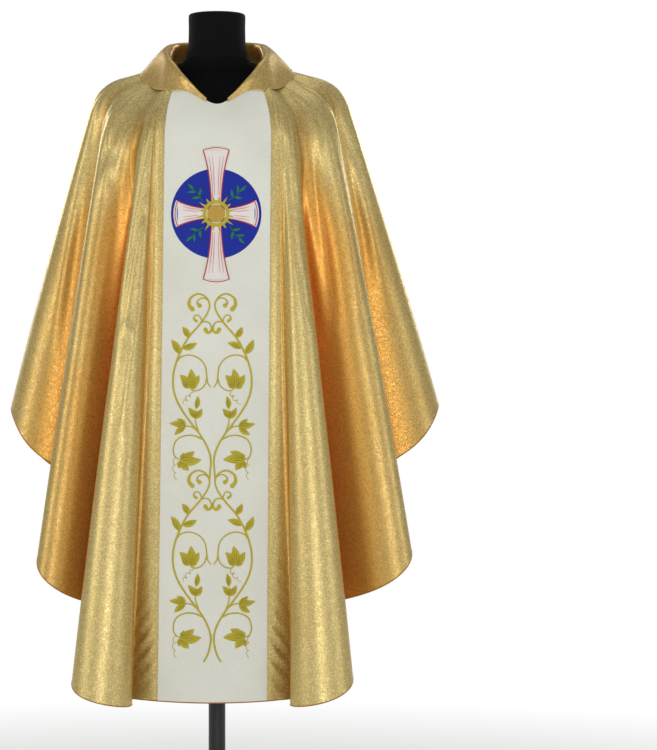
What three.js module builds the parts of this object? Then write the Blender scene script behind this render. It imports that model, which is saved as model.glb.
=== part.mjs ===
// A gothic chasuble hung on a limbless dress form: millimetres, +Z up, front towards -Y.
//
// The cloth is one closed surface round the form, worked out from fold lines. Each line runs from the
// neck, over the shoulder to its break point, and then hangs straight to the hem. A cubic B-spline
// joins the lines round the body, so that crests and valleys are round. The sewn pieces are walls cut
// out of that surface, and the collar is made from its points, moved out.
import * as THREE from "three";
import { mergeVertices } from "three/addons/utils/BufferGeometryUtils.js";

// Cloth
const WALL = 1.6; // lined lame, and the embroidered panels
const COLLAR_WALL = 2.2; // two layers and interfacing
const SEAM_GAP = 0.3; // between pieces sewn edge to edge
const SHOULDER_ROUND = 52; // how far before and after the break point the line bends
const SPREAD_EARLY = 0.1; // how far the hanging line bows out sideways, as a share of its spread

// Dress form and stand
const NECK_RADIUS = 54;
const FORM_SIDES = 48;
const POLE_RADIUS = 16;
const BASE_RADIUS = 210;
const BASE_HEIGHT = 14;
const ROUND_SIDES = 40;

// Neckline, from the front centre round the side to the back centre. The panels' edges and the
// shoulder seam meet it at the second, third and fourth of its points after the first.
const NECKLINE = [
  [0, -107, 1356],
  [50, -85, 1409],
  [79, -52, 1437],
  [86, 4, 1459],
  [72, 52, 1468],
  [42, 76, 1473],
  [0, 84, 1474],
];

// Fold lines of the wearer's right side, at -X, from the panel's middle to the shoulder seam, with x
// given outwards: where each breaks over the shoulder and where it meets the hem. The left side hangs
// a little differently at the hem, by drift.
const FRONT_CENTRE = { shoulder: [0, -127, 1310], hem: [-9, -199, 267], drift: [0, 0, 0] };
const FRONT_LINES = [
  { line: "panel middle", shoulder: [58, -125, 1325], hem: [64, -197, 268], drift: [-16, 0, 0] },
  { line: "panel edge", shoulder: [104, -115, 1362], hem: [112, -188, 270], drift: [-18, 0, 0] },
  { line: "strip", shoulder: [108, -114, 1364], hem: [142, -172, 271], drift: [-18, 0, 0] },
  { line: "strip valley", shoulder: [113, -112, 1362], hem: [172, -148, 272], drift: [-20, 0, 0] },
  { line: "front fold lip", shoulder: [118, -112, 1357], hem: [143, -226, 262], drift: [-22, 4, 0] },
  { line: "front fold crest", shoulder: [124, -111, 1350], hem: [204, -262, 268], drift: [-18, 4, 0] },
  { line: "front fold outside", shoulder: [131, -109, 1342], hem: [282, -238, 292], drift: [-20, 4, 6] },
  { line: "front fold flank", shoulder: [143, -106, 1334], hem: [246, -150, 350], drift: [-12, 0, 6] },
  { line: "front valley", shoulder: [156, -91, 1330], hem: [98, -54, 415], drift: [0, 0, 6] },
  { line: "middle fold flank", shoulder: [174, -87, 1336], hem: [192, -84, 432], drift: [8, 0, 8] },
  { line: "middle fold crest", shoulder: [196, -82, 1350], hem: [294, -182, 462], drift: [22, 0, 12] },
  { line: "middle fold outside", shoulder: [209, -65, 1366], hem: [356, -148, 528], drift: [30, 0, 16] },
  { line: "middle fold back", shoulder: [212, -46, 1381], hem: [280, -78, 598], drift: [22, 0, 12] },
  { line: "side valley", shoulder: [209, -30, 1391], hem: [114, -28, 645], drift: [4, 0, 8] },
  { line: "side fold flank", shoulder: [220, -20, 1406], hem: [272, -44, 672], drift: [20, 0, 8] },
  { line: "side fold crest", shoulder: [228, -9, 1414], hem: [376, -56, 740], drift: [30, 0, 10] },
];
const SEAM_LINE = { shoulder: [228, 2, 1417], hem: [400, 4, 842], drift: [30, 0, 8] };
const BACK_LINES = [
  { line: "panel middle", shoulder: [58, 118, 1360], hem: [58, 199, 270], drift: [0, 0, 0] },
  { line: "panel edge", shoulder: [104, 112, 1378], hem: [108, 190, 272], drift: [0, 0, 0] },
  { line: "strip", shoulder: [108, 111, 1380], hem: [138, 174, 274], drift: [-4, 0, 0] },
  { line: "strip valley", shoulder: [113, 110, 1378], hem: [164, 150, 277], drift: [-6, 0, 0] },
  { line: "back fold lip", shoulder: [119, 110, 1372], hem: [136, 224, 268], drift: [4, 0, 0] },
  { line: "back fold crest", shoulder: [125, 109, 1364], hem: [188, 258, 274], drift: [8, -4, 0] },
  { line: "back fold outside", shoulder: [133, 107, 1356], hem: [250, 236, 304], drift: [16, -4, 6] },
  { line: "back fold flank", shoulder: [146, 103, 1348], hem: [224, 150, 358], drift: [10, 0, 6] },
  { line: "back valley", shoulder: [158, 90, 1344], hem: [94, 56, 420], drift: [2, 0, 6] },
  { line: "middle fold flank", shoulder: [177, 89, 1348], hem: [182, 86, 438], drift: [8, 0, 6] },
  { line: "middle fold crest", shoulder: [196, 82, 1358], hem: [274, 186, 464], drift: [16, 0, 8] },
  { line: "middle fold outside", shoulder: [207, 63, 1372], hem: [330, 156, 516], drift: [22, 0, 10] },
  { line: "middle fold back", shoulder: [212, 48, 1384], hem: [266, 84, 590], drift: [18, 0, 10] },
  { line: "side valley", shoulder: [209, 33, 1392], hem: [116, 34, 634], drift: [4, 0, 8] },
  { line: "side fold flank", shoulder: [220, 24, 1407], hem: [266, 50, 660], drift: [18, 0, 8] },
  { line: "side fold crest", shoulder: [228, 13, 1415], hem: [366, 64, 722], drift: [26, 0, 10] },
];
const BACK_CENTRE = { shoulder: [0, 120, 1352], hem: [0, 201, 268], drift: [0, 0, 0] };
const EDGE_LINE = 2; // the number of the panel edge's line
const SEAM_AT = FRONT_LINES.length + 1; // line number of the shoulder seam at +X
const BACK_AT = 2 * SEAM_AT; // and of the back centre
const LINES = 2 * BACK_AT; // all lines, once round

// Collar: how high it stands, how far it leans outwards, and how far down the cloth its edge lies.
// The place is a point of the neckline, or a share of the way from one to the next.
const COLLAR = [
  { place: 0.4, stand: 0.5, lean: 1, fall: 3 },
  { place: 1, stand: 5, lean: 1.5, fall: 10 },
  { place: 1.5, stand: 9, lean: 2, fall: 26 },
  { place: 2, stand: 15, lean: 2, fall: 46 },
  { place: 2.25, stand: 19, lean: 1, fall: 56 },
  { place: 2.5, stand: 23, lean: 0, fall: 61 },
  { place: 3, stand: 29, lean: -3, fall: 67 },
  { place: 3.5, stand: 31, lean: -4, fall: 71 },
  { place: 4, stand: 32, lean: -4, fall: 78 },
  { place: 5, stand: 32, lean: -3, fall: 92 },
  { place: 6, stand: 32, lean: -2, fall: 106 },
];

// Dress form: half width and half depths of its sections.
const FORM_SECTIONS = [
  { z: 880, half: 132, front: 84, back: 84 },
  { z: 888, half: 146, front: 95, back: 96 },
  { z: 950, half: 148, front: 98, back: 100 },
  { z: 1050, half: 132, front: 90, back: 90 },
  { z: 1150, half: 136, front: 94, back: 90 },
  { z: 1250, half: 154, front: 104, back: 98 },
  { z: 1320, half: 178, front: 106, back: 100 },
  { z: 1358, half: 198, front: 82, back: 86 },
  { z: 1384, half: 204, front: 60, back: 66 },
  { z: 1402.5, half: 202, front: 44, back: 52 },
  { z: 1419.5, half: 182, front: 32, back: 42 },
  { z: 1432.5, half: 148, front: 24, back: 36 },
  { z: 1444.5, half: 110, front: 26, back: 40 },
  { z: 1454.5, half: 74, front: 40, back: 50 },
  { z: 1467, half: 62, front: 54, back: 57 },
];

const LEFT_SHOULDER = new THREE.Vector3(1.04, 1, 1.003); // hangs a little wider and higher

const vec = (p, side = 1) => new THREE.Vector3(p[0] * side, p[1], p[2]);

const neckline = new THREE.CatmullRomCurve3(NECKLINE.map((p) => vec(p)));
const NECK_EDGE = { front: 2, seam: 3, back: 4 }; // their points of the neckline

// The lines once round, from the front centre over +X to the back centre and on over -X.
function allLines() {
  const neckOf = (line) => neckline.getPoint(neckPlace(line) / (NECKLINE.length - 1)).toArray();
  const quarter = (rows, lineOf) => rows.map((row, i) => ({ ...row, neck: neckOf(lineOf(i + 1)) }));
  const front = quarter(FRONT_LINES, (n) => n);
  const back = quarter(BACK_LINES, (n) => BACK_AT - n).reverse();
  const seam = { ...SEAM_LINE, neck: NECKLINE[NECK_EDGE.seam] };
  const half = [...front, seam, ...back];
  const placed = (row, side) => ({
    neck: vec(row.neck, side),
    shoulder: side > 0 ? vec(row.shoulder).multiply(LEFT_SHOULDER) : vec(row.shoulder, side),
    hem: vec(row.hem.map((x, k) => x + (side > 0 ? row.drift[k] : 0)), side),
  });
  return [
    placed({ ...FRONT_CENTRE, neck: NECKLINE[0] }, 1),
    ...half.map((row) => placed(row, 1)),
    placed({ ...BACK_CENTRE, neck: NECKLINE.at(-1) }, 1),
    ...half.map((row) => placed(row, -1)).reverse(),
  ];
}
const lines = allLines();

// A point that the lines share, such as the hem, at line number u by the uniform cubic B-spline.
function splined(key, u) {
  const i = Math.floor(u);
  const t = u - i;
  const weights = [
    (1 - t) ** 3 / 6,
    (3 * t ** 3 - 6 * t ** 2 + 4) / 6,
    (-3 * t ** 3 + 3 * t ** 2 + 3 * t + 1) / 6,
    t ** 3 / 6,
  ];
  const sum = new THREE.Vector3();
  weights.forEach((w, k) => sum.addScaledVector(lines[(i - 1 + k + 2 * LINES) % LINES][key], w));
  return sum;
}

// The cloth's middle surface. u is the line number and v goes from 0 at the neck, over the bend from
// 1 to 2, to 3 at the hem.
function cloth(u, v) {
  const neck = splined("neck", u);
  const corner = splined("shoulder", u);
  const hem = splined("hem", u);
  const before = Math.min(SHOULDER_ROUND, 0.55 * neck.distanceTo(corner));
  const bendStart = corner.clone().addScaledVector(neck.clone().sub(corner).normalize(), before);
  const bendEnd = corner.clone().addScaledVector(hem.clone().sub(corner).normalize(), SHOULDER_ROUND);
  if (v <= 1) return neck.lerp(bendStart, v);
  if (v <= 2) {
    const t = v - 1;
    return bendStart
      .multiplyScalar((1 - t) ** 2)
      .addScaledVector(corner, 2 * t * (1 - t))
      .addScaledVector(bendEnd, t ** 2);
  }
  const t = v - 2;
  const bow = SPREAD_EARLY * t * (1 - t);
  const spread = hem.clone().sub(bendEnd).setZ(0);
  return bendEnd.lerp(hem, t).addScaledVector(spread, bow);
}

const STEP = 1e-3;

// The outward normal of a surface whose first parameter runs from the front over +X to the back.
function normalOf(surface, a, b, bLow = 0, bHigh = 3) {
  const b0 = Math.max(bLow, b - STEP);
  const b1 = Math.min(bHigh, b + STEP);
  const along = surface(a + STEP, b).sub(surface(a - STEP, b));
  const down = surface(a, b1).sub(surface(a, b0));
  return down.cross(along).normalize();
}

// A closed wall on a surface: outer and inner skins on a grid, and the four edges between them.
function wall(surface, thickness, us, vs, vHigh) {
  const positions = [];
  const index = [];
  const at = (skin, i, j) => (skin * us.length + i) * vs.length + j;
  [0.5, -0.5].forEach((share) =>
    us.forEach((u) =>
      vs.forEach((v) => {
        const p = surface(u, v).addScaledVector(normalOf(surface, u, v, 0, vHigh), share * thickness);
        positions.push(p.x, p.y, p.z);
      }),
    ),
  );
  const quad = (a, b, c, d) => index.push(a, b, c, a, c, d);
  for (let i = 0; i + 1 < us.length; i++)
    for (let j = 0; j + 1 < vs.length; j++) {
      quad(at(0, i, j), at(0, i, j + 1), at(0, i + 1, j + 1), at(0, i + 1, j));
      quad(at(1, i, j), at(1, i + 1, j), at(1, i + 1, j + 1), at(1, i, j + 1));
    }
  const [lastU, lastV] = [us.length - 1, vs.length - 1];
  for (let i = 0; i < lastU; i++) {
    quad(at(0, i, 0), at(0, i + 1, 0), at(1, i + 1, 0), at(1, i, 0));
    quad(at(0, i, lastV), at(1, i, lastV), at(1, i + 1, lastV), at(0, i + 1, lastV));
  }
  for (let j = 0; j < lastV; j++) {
    quad(at(0, 0, j), at(1, 0, j), at(1, 0, j + 1), at(0, 0, j + 1));
    quad(at(0, lastU, j), at(0, lastU, j + 1), at(1, lastU, j + 1), at(1, lastU, j));
  }
  const geometry = new THREE.BufferGeometry();
  geometry.setAttribute("position", new THREE.Float32BufferAttribute(positions, 3));
  geometry.setIndex(index);
  return geometry;
}

const steps = (from, to, count) =>
  Array.from({ length: count + 1 }, (_, i) => from + ((to - from) * i) / count);

// Rows from neck to hem: few where the line is straight, more over the shoulder.
const CLOTH_ROWS = [...steps(0, 1, 2), ...steps(1, 2, 4).slice(1), ...steps(2, 3, 6).slice(1)];
const COLUMNS_PER_LINE = 2;

// The cloth between two lines, drawn in by half the seam gap at both ends.
function clothPiece(from, to) {
  const us = steps(from, to, (to - from) * COLUMNS_PER_LINE);
  const drawnIn = (u, v) => {
    const inset = SEAM_GAP / 2;
    const towards = u === us[0] ? 1 : u === us.at(-1) ? -1 : 0;
    if (!towards) return cloth(u, v);
    const along = cloth(u + towards * STEP, v).sub(cloth(u, v)).normalize();
    return cloth(u, v).addScaledVector(along, inset);
  };
  const surface = (u, v) => (us.includes(u) ? drawnIn(u, v) : cloth(u, v));
  return wall(surface, WALL, us, CLOTH_ROWS, 3);
}

// The point of the neckline, or the share between two, that line number u starts from. The numbers
// go from 0 at the front centre to 6 at the back centre, on both sides.
function neckPlace(u) {
  const near = Math.min(u, LINES - u);
  const share = (near - EDGE_LINE) / (SEAM_AT - EDGE_LINE);
  if (near < EDGE_LINE) return near;
  if (near < BACK_AT - EDGE_LINE) return NECK_EDGE.front + share;
  return NECK_EDGE.back + near - (BACK_AT - EDGE_LINE);
}

const collarCurves = Object.fromEntries(
  ["stand", "lean", "fall"].map((key) => {
    const values = COLLAR.map((row) => row[key]);
    return [key, new THREE.CubicInterpolant(COLLAR.map((row) => row.place), values, 1)];
  }),
);
const collarValue = (key, u) => collarCurves[key].evaluate(neckPlace(u))[0];

// How far down its line, as v, the cloth is when it has run a length from the neck.
const REACH = 2.2; // no collar reaches further down than this
const REACH_STEPS = 60;
function vAtLength(u, length) {
  let run = 0;
  let last = cloth(u, 0);
  for (let i = 1; i <= REACH_STEPS; i++) {
    const here = cloth(u, (REACH * i) / REACH_STEPS);
    const step = here.distanceTo(last);
    if (run + step >= length) return (REACH * (i - 1 + (length - run) / step)) / REACH_STEPS;
    run += step;
    last = here;
  }
  return REACH;
}

// The collar's middle surface: t runs from the seam, up the stand, over the roll and down the fall.
const COLLAR_LIFT = 2.6; // from the cloth's middle to the collar's middle at the collar's edge
function collar(u, t) {
  const outward = cloth(u, 0.6).sub(cloth(u, 0)).setZ(0).normalize();
  const seam = cloth(u, 0).addScaledVector(normalOf(cloth, u, 0.02), COLLAR_LIFT);
  const lean = collarValue("lean", u);
  const stand = collarValue("stand", u);
  const top = seam.clone().addScaledVector(outward, lean);
  top.z += stand;
  const v = vAtLength(u, collarValue("fall", u));
  const edge = cloth(u, v).addScaledVector(normalOf(cloth, u, v), COLLAR_LIFT);
  const over = top.clone().addScaledVector(outward, Math.min(11, 2 + stand * 0.45));
  over.z += 1.5;
  const curve = new THREE.CatmullRomCurve3([seam, top, over, edge], false, "centripetal");
  return curve.getPoint(Math.min(1, Math.max(0, t)));
}

function collarPiece() {
  const first = COLLAR[0].place;
  const us = [first, ...steps(1, LINES - 1, (LINES - 2) * COLUMNS_PER_LINE), LINES - first];
  return wall(collar, COLLAR_WALL, us, steps(0, 1, 8), 1);
}

// The form's torso: rounded sections lofted from the hips to the neck's foot.
function formTorso() {
  const power = 2.25;
  const round = (x) => Math.sign(x) * Math.abs(x) ** (2 / power);
  const rings = FORM_SECTIONS.map(({ z, half, front, back }) =>
    Array.from({ length: FORM_SIDES }, (_, i) => {
      const a = (2 * Math.PI * i) / FORM_SIDES;
      const depth = Math.sin(a) < 0 ? front : back;
      return new THREE.Vector3(half * round(Math.cos(a)), depth * round(Math.sin(a)), z);
    }),
  );
  return lofted(rings);
}

// Rings of equal length, one above the other, closed with a flat end at both ends.
function lofted(rings) {
  const sides = rings[0].length;
  const positions = rings.flat().flatMap((p) => p.toArray());
  const index = [];
  for (let k = 0; k + 1 < rings.length; k++)
    for (let i = 0; i < sides; i++) {
      const j = (i + 1) % sides;
      const [a, b] = [k * sides + i, k * sides + j];
      index.push(a, b, b + sides, a, b + sides, a + sides);
    }
  const ends = [rings[0], rings.at(-1)];
  ends.forEach((ring, top) => {
    const centre = ring.reduce((s, p) => s.add(p), new THREE.Vector3()).divideScalar(sides);
    const hub = positions.push(...centre.toArray()) / 3 - 1;
    const start = top ? (rings.length - 1) * sides : 0;
    for (let i = 0; i < sides; i++) {
      const j = (i + 1) % sides;
      if (top) index.push(hub, start + i, start + j);
      else index.push(hub, start + j, start + i);
    }
  });
  const geometry = new THREE.BufferGeometry();
  geometry.setAttribute("position", new THREE.Float32BufferAttribute(positions, 3));
  geometry.setIndex(index);
  return geometry;
}

// A solid of revolution about Z from its outline, given as radius and height from bottom to top.
function turned(outline) {
  const points = outline.map(([r, z]) => new THREE.Vector2(r, z));
  return new THREE.LatheGeometry(points, ROUND_SIDES).rotateX(Math.PI / 2);
}

const FOOT = 0.3; // the gap between stacked pieces of the stand
const TORSO_BOTTOM = FORM_SECTIONS[0].z;
const TORSO_TOP = FORM_SECTIONS.at(-1).z;
const NECK_TOP = 1554;
const NECK_ROUND = 5;

function formNeck() {
  const outline = [
    [0, TORSO_TOP + FOOT],
    [58, TORSO_TOP + FOOT],
    [56, TORSO_TOP + 12],
    [NECK_RADIUS, TORSO_TOP + 34],
    [NECK_RADIUS, NECK_TOP - NECK_ROUND],
    [NECK_RADIUS - 1.5, NECK_TOP - 1.5],
    [NECK_RADIUS - NECK_ROUND, NECK_TOP],
    [0, NECK_TOP],
  ];
  return turned(outline);
}

const standPole = () =>
  turned([
    [0, BASE_HEIGHT + FOOT],
    [POLE_RADIUS, BASE_HEIGHT + FOOT],
    [POLE_RADIUS, TORSO_BOTTOM - FOOT],
    [0, TORSO_BOTTOM - FOOT],
  ]);

const standBase = () =>
  turned([
    [0, 0],
    [BASE_RADIUS, 0],
    [BASE_RADIUS, BASE_HEIGHT - 5],
    [BASE_RADIUS - 5, BASE_HEIGHT],
    [0, BASE_HEIGHT],
  ]);

const lame = { color: 0xcdb063, roughness: 0.42, metalness: 0.6 };
const cream = { color: 0xe8e6da, roughness: 0.8, metalness: 0 };
const jersey = { color: 0x0c0c0d, roughness: 0.85, metalness: 0 };
const steel = { color: 0x1a1a1c, roughness: 0.4, metalness: 0.6 };

function piece(name, geometry, look) {
  const bare = geometry.clone();
  bare.deleteAttribute("normal");
  bare.deleteAttribute("uv");
  const mesh = new THREE.Mesh(mergeVertices(bare, 1e-4), new THREE.MeshStandardMaterial(look));
  mesh.name = name;
  return mesh;
}

const chasuble = new THREE.Group();
chasuble.add(
  piece("front_panel", clothPiece(-EDGE_LINE, EDGE_LINE), cream),
  piece("front_left", clothPiece(EDGE_LINE, SEAM_AT), lame),
  piece("back_left", clothPiece(SEAM_AT, BACK_AT - EDGE_LINE), lame),
  piece("back_panel", clothPiece(BACK_AT - EDGE_LINE, BACK_AT + EDGE_LINE), cream),
  piece("back_right", clothPiece(BACK_AT + EDGE_LINE, LINES - SEAM_AT), lame),
  piece("front_right", clothPiece(LINES - SEAM_AT, LINES - EDGE_LINE), lame),
  piece("collar", collarPiece(), lame),
);
const dressForm = new THREE.Group();
dressForm.add(
  piece("form_torso", formTorso(), jersey),
  piece("form_neck", formNeck(), jersey),
  piece("stand_pole", standPole(), steel),
  piece("stand_base", standBase(), steel),
);

const model = new THREE.Group();
model.add(chasuble, dressForm);
export default model;
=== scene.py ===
"""A gothic chasuble hung on a limbless dress form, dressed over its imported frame.

Metres, +Z up, the chasuble's front towards -Y and the wearer's left at +X. The cloth is one closed
surface round the body, worked out from fold lines as in the frame's own solids. Here it gets a fine
grid, creases and soft waves, and the pieces sewn on it: turned hem, seam stitches, collar,
embroidered vine and roundel.
"""

import logging
import math
from dataclasses import dataclass, field
from enum import Enum

import bpy
import numpy as np
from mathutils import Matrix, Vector

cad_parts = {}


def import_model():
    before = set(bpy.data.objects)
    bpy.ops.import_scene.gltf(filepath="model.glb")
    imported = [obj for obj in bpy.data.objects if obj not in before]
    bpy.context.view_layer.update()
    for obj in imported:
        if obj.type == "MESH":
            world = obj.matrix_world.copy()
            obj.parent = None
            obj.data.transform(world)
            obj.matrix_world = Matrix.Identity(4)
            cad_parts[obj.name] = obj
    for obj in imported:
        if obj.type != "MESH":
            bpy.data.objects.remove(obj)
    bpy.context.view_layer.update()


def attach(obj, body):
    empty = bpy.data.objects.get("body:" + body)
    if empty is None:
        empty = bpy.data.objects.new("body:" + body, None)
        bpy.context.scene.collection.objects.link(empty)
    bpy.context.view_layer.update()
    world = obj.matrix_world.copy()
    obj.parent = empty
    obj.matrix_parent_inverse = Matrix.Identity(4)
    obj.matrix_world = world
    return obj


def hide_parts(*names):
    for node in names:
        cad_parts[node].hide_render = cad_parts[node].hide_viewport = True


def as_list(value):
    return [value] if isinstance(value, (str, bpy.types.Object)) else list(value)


log = logging.getLogger("chasuble")
Array = np.ndarray
MM = 0.001

# Cloth
WALL = 1.6 * MM
COLLAR_WALL = 2.2 * MM
SEAM_GAP = 0.3 * MM
SHOULDER_ROUND = 52 * MM
SPREAD_EARLY = 0.1
HEM_EDGE = 1.3 * MM  # radius of the turned edge along the hem
STITCH_LENGTH = 3.4 * MM
STITCH_PITCH = 5 * MM
STITCH_RADIUS = 0.45 * MM
STITCH_INSET = 2 * MM  # from the panel's seam
TOPSTITCH_INSET = 6 * MM  # from the collar's edge
TUBE_SIDES = 8

# Grid: columns for each fold line, and rows down to the bend, over it and from it to the hem
PER_LINE = 12
ROWS = (14, 26, 112)
# First guess of a place on a panel, in metres: between lines, the break's height, the drop from it
PANEL_LINE, PANEL_BREAK, PANEL_DROP = 0.055, 1.31, 1.04

# Dress form and stand
NECK_TOP = 1554 * MM
POLE_RADIUS = 16 * MM
BASE_RADIUS = 210 * MM
BASE_HEIGHT = 14 * MM

# Neckline from the front centre round one side to the back centre, in millimetres
NECKLINE = (
    (0, -107, 1356),
    (50, -85, 1409),
    (79, -52, 1437),
    (86, 4, 1459),
    (72, 52, 1468),
    (42, 76, 1473),
    (0, 84, 1474),
)

# Fold lines in millimetres: name, break point over the shoulder, hem point at -X with x outwards,
# and how much further the hem point lies at +X
FRONT_CENTRE = ("front centre", (0, -127, 1310), (-9, -199, 267), (0, 0, 0))
FRONT_LINES = (
    ("panel middle", (58, -125, 1325), (64, -197, 268), (-16, 0, 0)),
    ("panel edge", (104, -115, 1362), (112, -188, 270), (-18, 0, 0)),
    ("strip", (108, -114, 1364), (142, -172, 271), (-18, 0, 0)),
    ("strip valley", (113, -112, 1362), (172, -148, 272), (-20, 0, 0)),
    ("front fold lip", (118, -112, 1357), (143, -226, 262), (-22, 4, 0)),
    ("front fold crest", (124, -111, 1350), (204, -262, 268), (-18, 4, 0)),
    ("front fold outside", (131, -109, 1342), (282, -238, 292), (-20, 4, 6)),
    ("front fold flank", (143, -106, 1334), (246, -150, 350), (-12, 0, 6)),
    ("front valley", (156, -91, 1330), (98, -54, 415), (0, 0, 6)),
    ("middle fold flank", (174, -87, 1336), (192, -84, 432), (8, 0, 8)),
    ("middle fold crest", (196, -82, 1350), (294, -182, 462), (22, 0, 12)),
    ("middle fold outside", (209, -65, 1366), (356, -148, 528), (30, 0, 16)),
    ("middle fold back", (212, -46, 1381), (280, -78, 598), (22, 0, 12)),
    ("side valley", (209, -30, 1391), (114, -28, 645), (4, 0, 8)),
    ("side fold flank", (220, -20, 1406), (272, -44, 672), (20, 0, 8)),
    ("side fold crest", (228, -9, 1414), (376, -56, 740), (30, 0, 10)),
)
SEAM_LINE = ("shoulder seam", (228, 2, 1417), (400, 4, 842), (30, 0, 8))
BACK_LINES = (
    ("panel middle", (58, 118, 1360), (58, 199, 270), (0, 0, 0)),
    ("panel edge", (104, 112, 1378), (108, 190, 272), (0, 0, 0)),
    ("strip", (108, 111, 1380), (138, 174, 274), (-4, 0, 0)),
    ("strip valley", (113, 110, 1378), (164, 150, 277), (-6, 0, 0)),
    ("back fold lip", (119, 110, 1372), (136, 224, 268), (4, 0, 0)),
    ("back fold crest", (125, 109, 1364), (188, 258, 274), (8, -4, 0)),
    ("back fold outside", (133, 107, 1356), (250, 236, 304), (16, -4, 6)),
    ("back fold flank", (146, 103, 1348), (224, 150, 358), (10, 0, 6)),
    ("back valley", (158, 90, 1344), (94, 56, 420), (2, 0, 6)),
    ("middle fold flank", (177, 89, 1348), (182, 86, 438), (8, 0, 6)),
    ("middle fold crest", (196, 82, 1358), (274, 186, 464), (16, 0, 8)),
    ("middle fold outside", (207, 63, 1372), (330, 156, 516), (22, 0, 10)),
    ("middle fold back", (212, 48, 1384), (266, 84, 590), (18, 0, 10)),
    ("side valley", (209, 33, 1392), (116, 34, 634), (4, 0, 8)),
    ("side fold flank", (220, 24, 1407), (266, 50, 660), (18, 0, 8)),
    ("side fold crest", (228, 13, 1415), (366, 64, 722), (26, 0, 10)),
)
BACK_CENTRE = ("back centre", (0, 120, 1352), (0, 201, 268), (0, 0, 0))
# Hem points, as above, that three lines beside each panel run towards at first. The step between
# the strip and its fold opens only lower down, so the lines leave these for their own hem points.
EARLY = {
    "front": (
        ("strip", (137, -194, 271)),
        ("strip valley", (156, -206, 270)),
        ("front fold lip", (178, -232, 266)),
    ),
    "back": (
        ("strip", (133, 196, 274)),
        ("strip valley", (148, 206, 273)),
        ("back fold lip", (166, 230, 270)),
    ),
}
OPENS_LATE = 2.4  # they leave these by this power of the way down
# How much painted shade the lines of a quarter get, from a panel's middle to the shoulder seam:
# the orange of the silk ground put where the folds shade the cloth and light bounces between them,
# most in the valleys and on the inner flanks of the folds, and not on the panel
LINE_SHADE = (
    0, 0, 0, 0.08, 0.22, 0.26, 0.14, 0.12, 0.8, 1, 0.95, 0.6, 0.12, 0.1, 0.72, 0.95, 0.4, 0.06
)
SHADE_FADES = (1.06, 1.3)  # the heights in metres between which it weakens
EDGE_LINE = 2
SEAM_AT = len(FRONT_LINES) + 1
BACK_AT = 2 * SEAM_AT
LINES = 2 * BACK_AT
LEFT_SHOULDER = (1.04, 1, 1.003)  # the +X shoulder hangs a little wider and higher

# Collar in millimetres: place on the neckline, stand, lean outwards, and fall down the cloth
COLLAR = (
    (0.4, 0.5, 1, 3),
    (1, 5, 1.5, 10),
    (1.5, 9, 2, 26),
    (2, 15, 2, 46),
    (2.25, 19, 1, 56),
    (2.5, 23, 0, 61),
    (3, 29, -3, 67),
    (3.5, 31, -4, 71),
    (4, 32, -4, 78),
    (5, 32, -3, 92),
    (6, 32, -2, 106),
)
COLLAR_LIFT = 2.6 * MM
REACH = 2.2

# Sections of the dress form's torso in millimetres: height, half width, front and back depth
TORSO = (
    (880, 132, 84, 84),
    (888, 146, 95, 96),
    (950, 148, 98, 100),
    (1050, 132, 90, 90),
    (1150, 136, 94, 90),
    (1250, 154, 104, 98),
    (1320, 178, 106, 100),
    (1358, 198, 82, 86),
    (1384, 204, 60, 66),
    (1402.5, 202, 44, 52),
    (1419.5, 182, 32, 42),
    (1432.5, 148, 24, 36),
    (1444.5, 110, 26, 40),
    (1454.5, 74, 40, 50),
    (1467, 62, 54, 57),
)
TORSO_SHRINK = 1.5 * MM  # the cover lies this far inside, clear of the cloth
TORSO_POWER = 2.25  # of the superellipses

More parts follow.
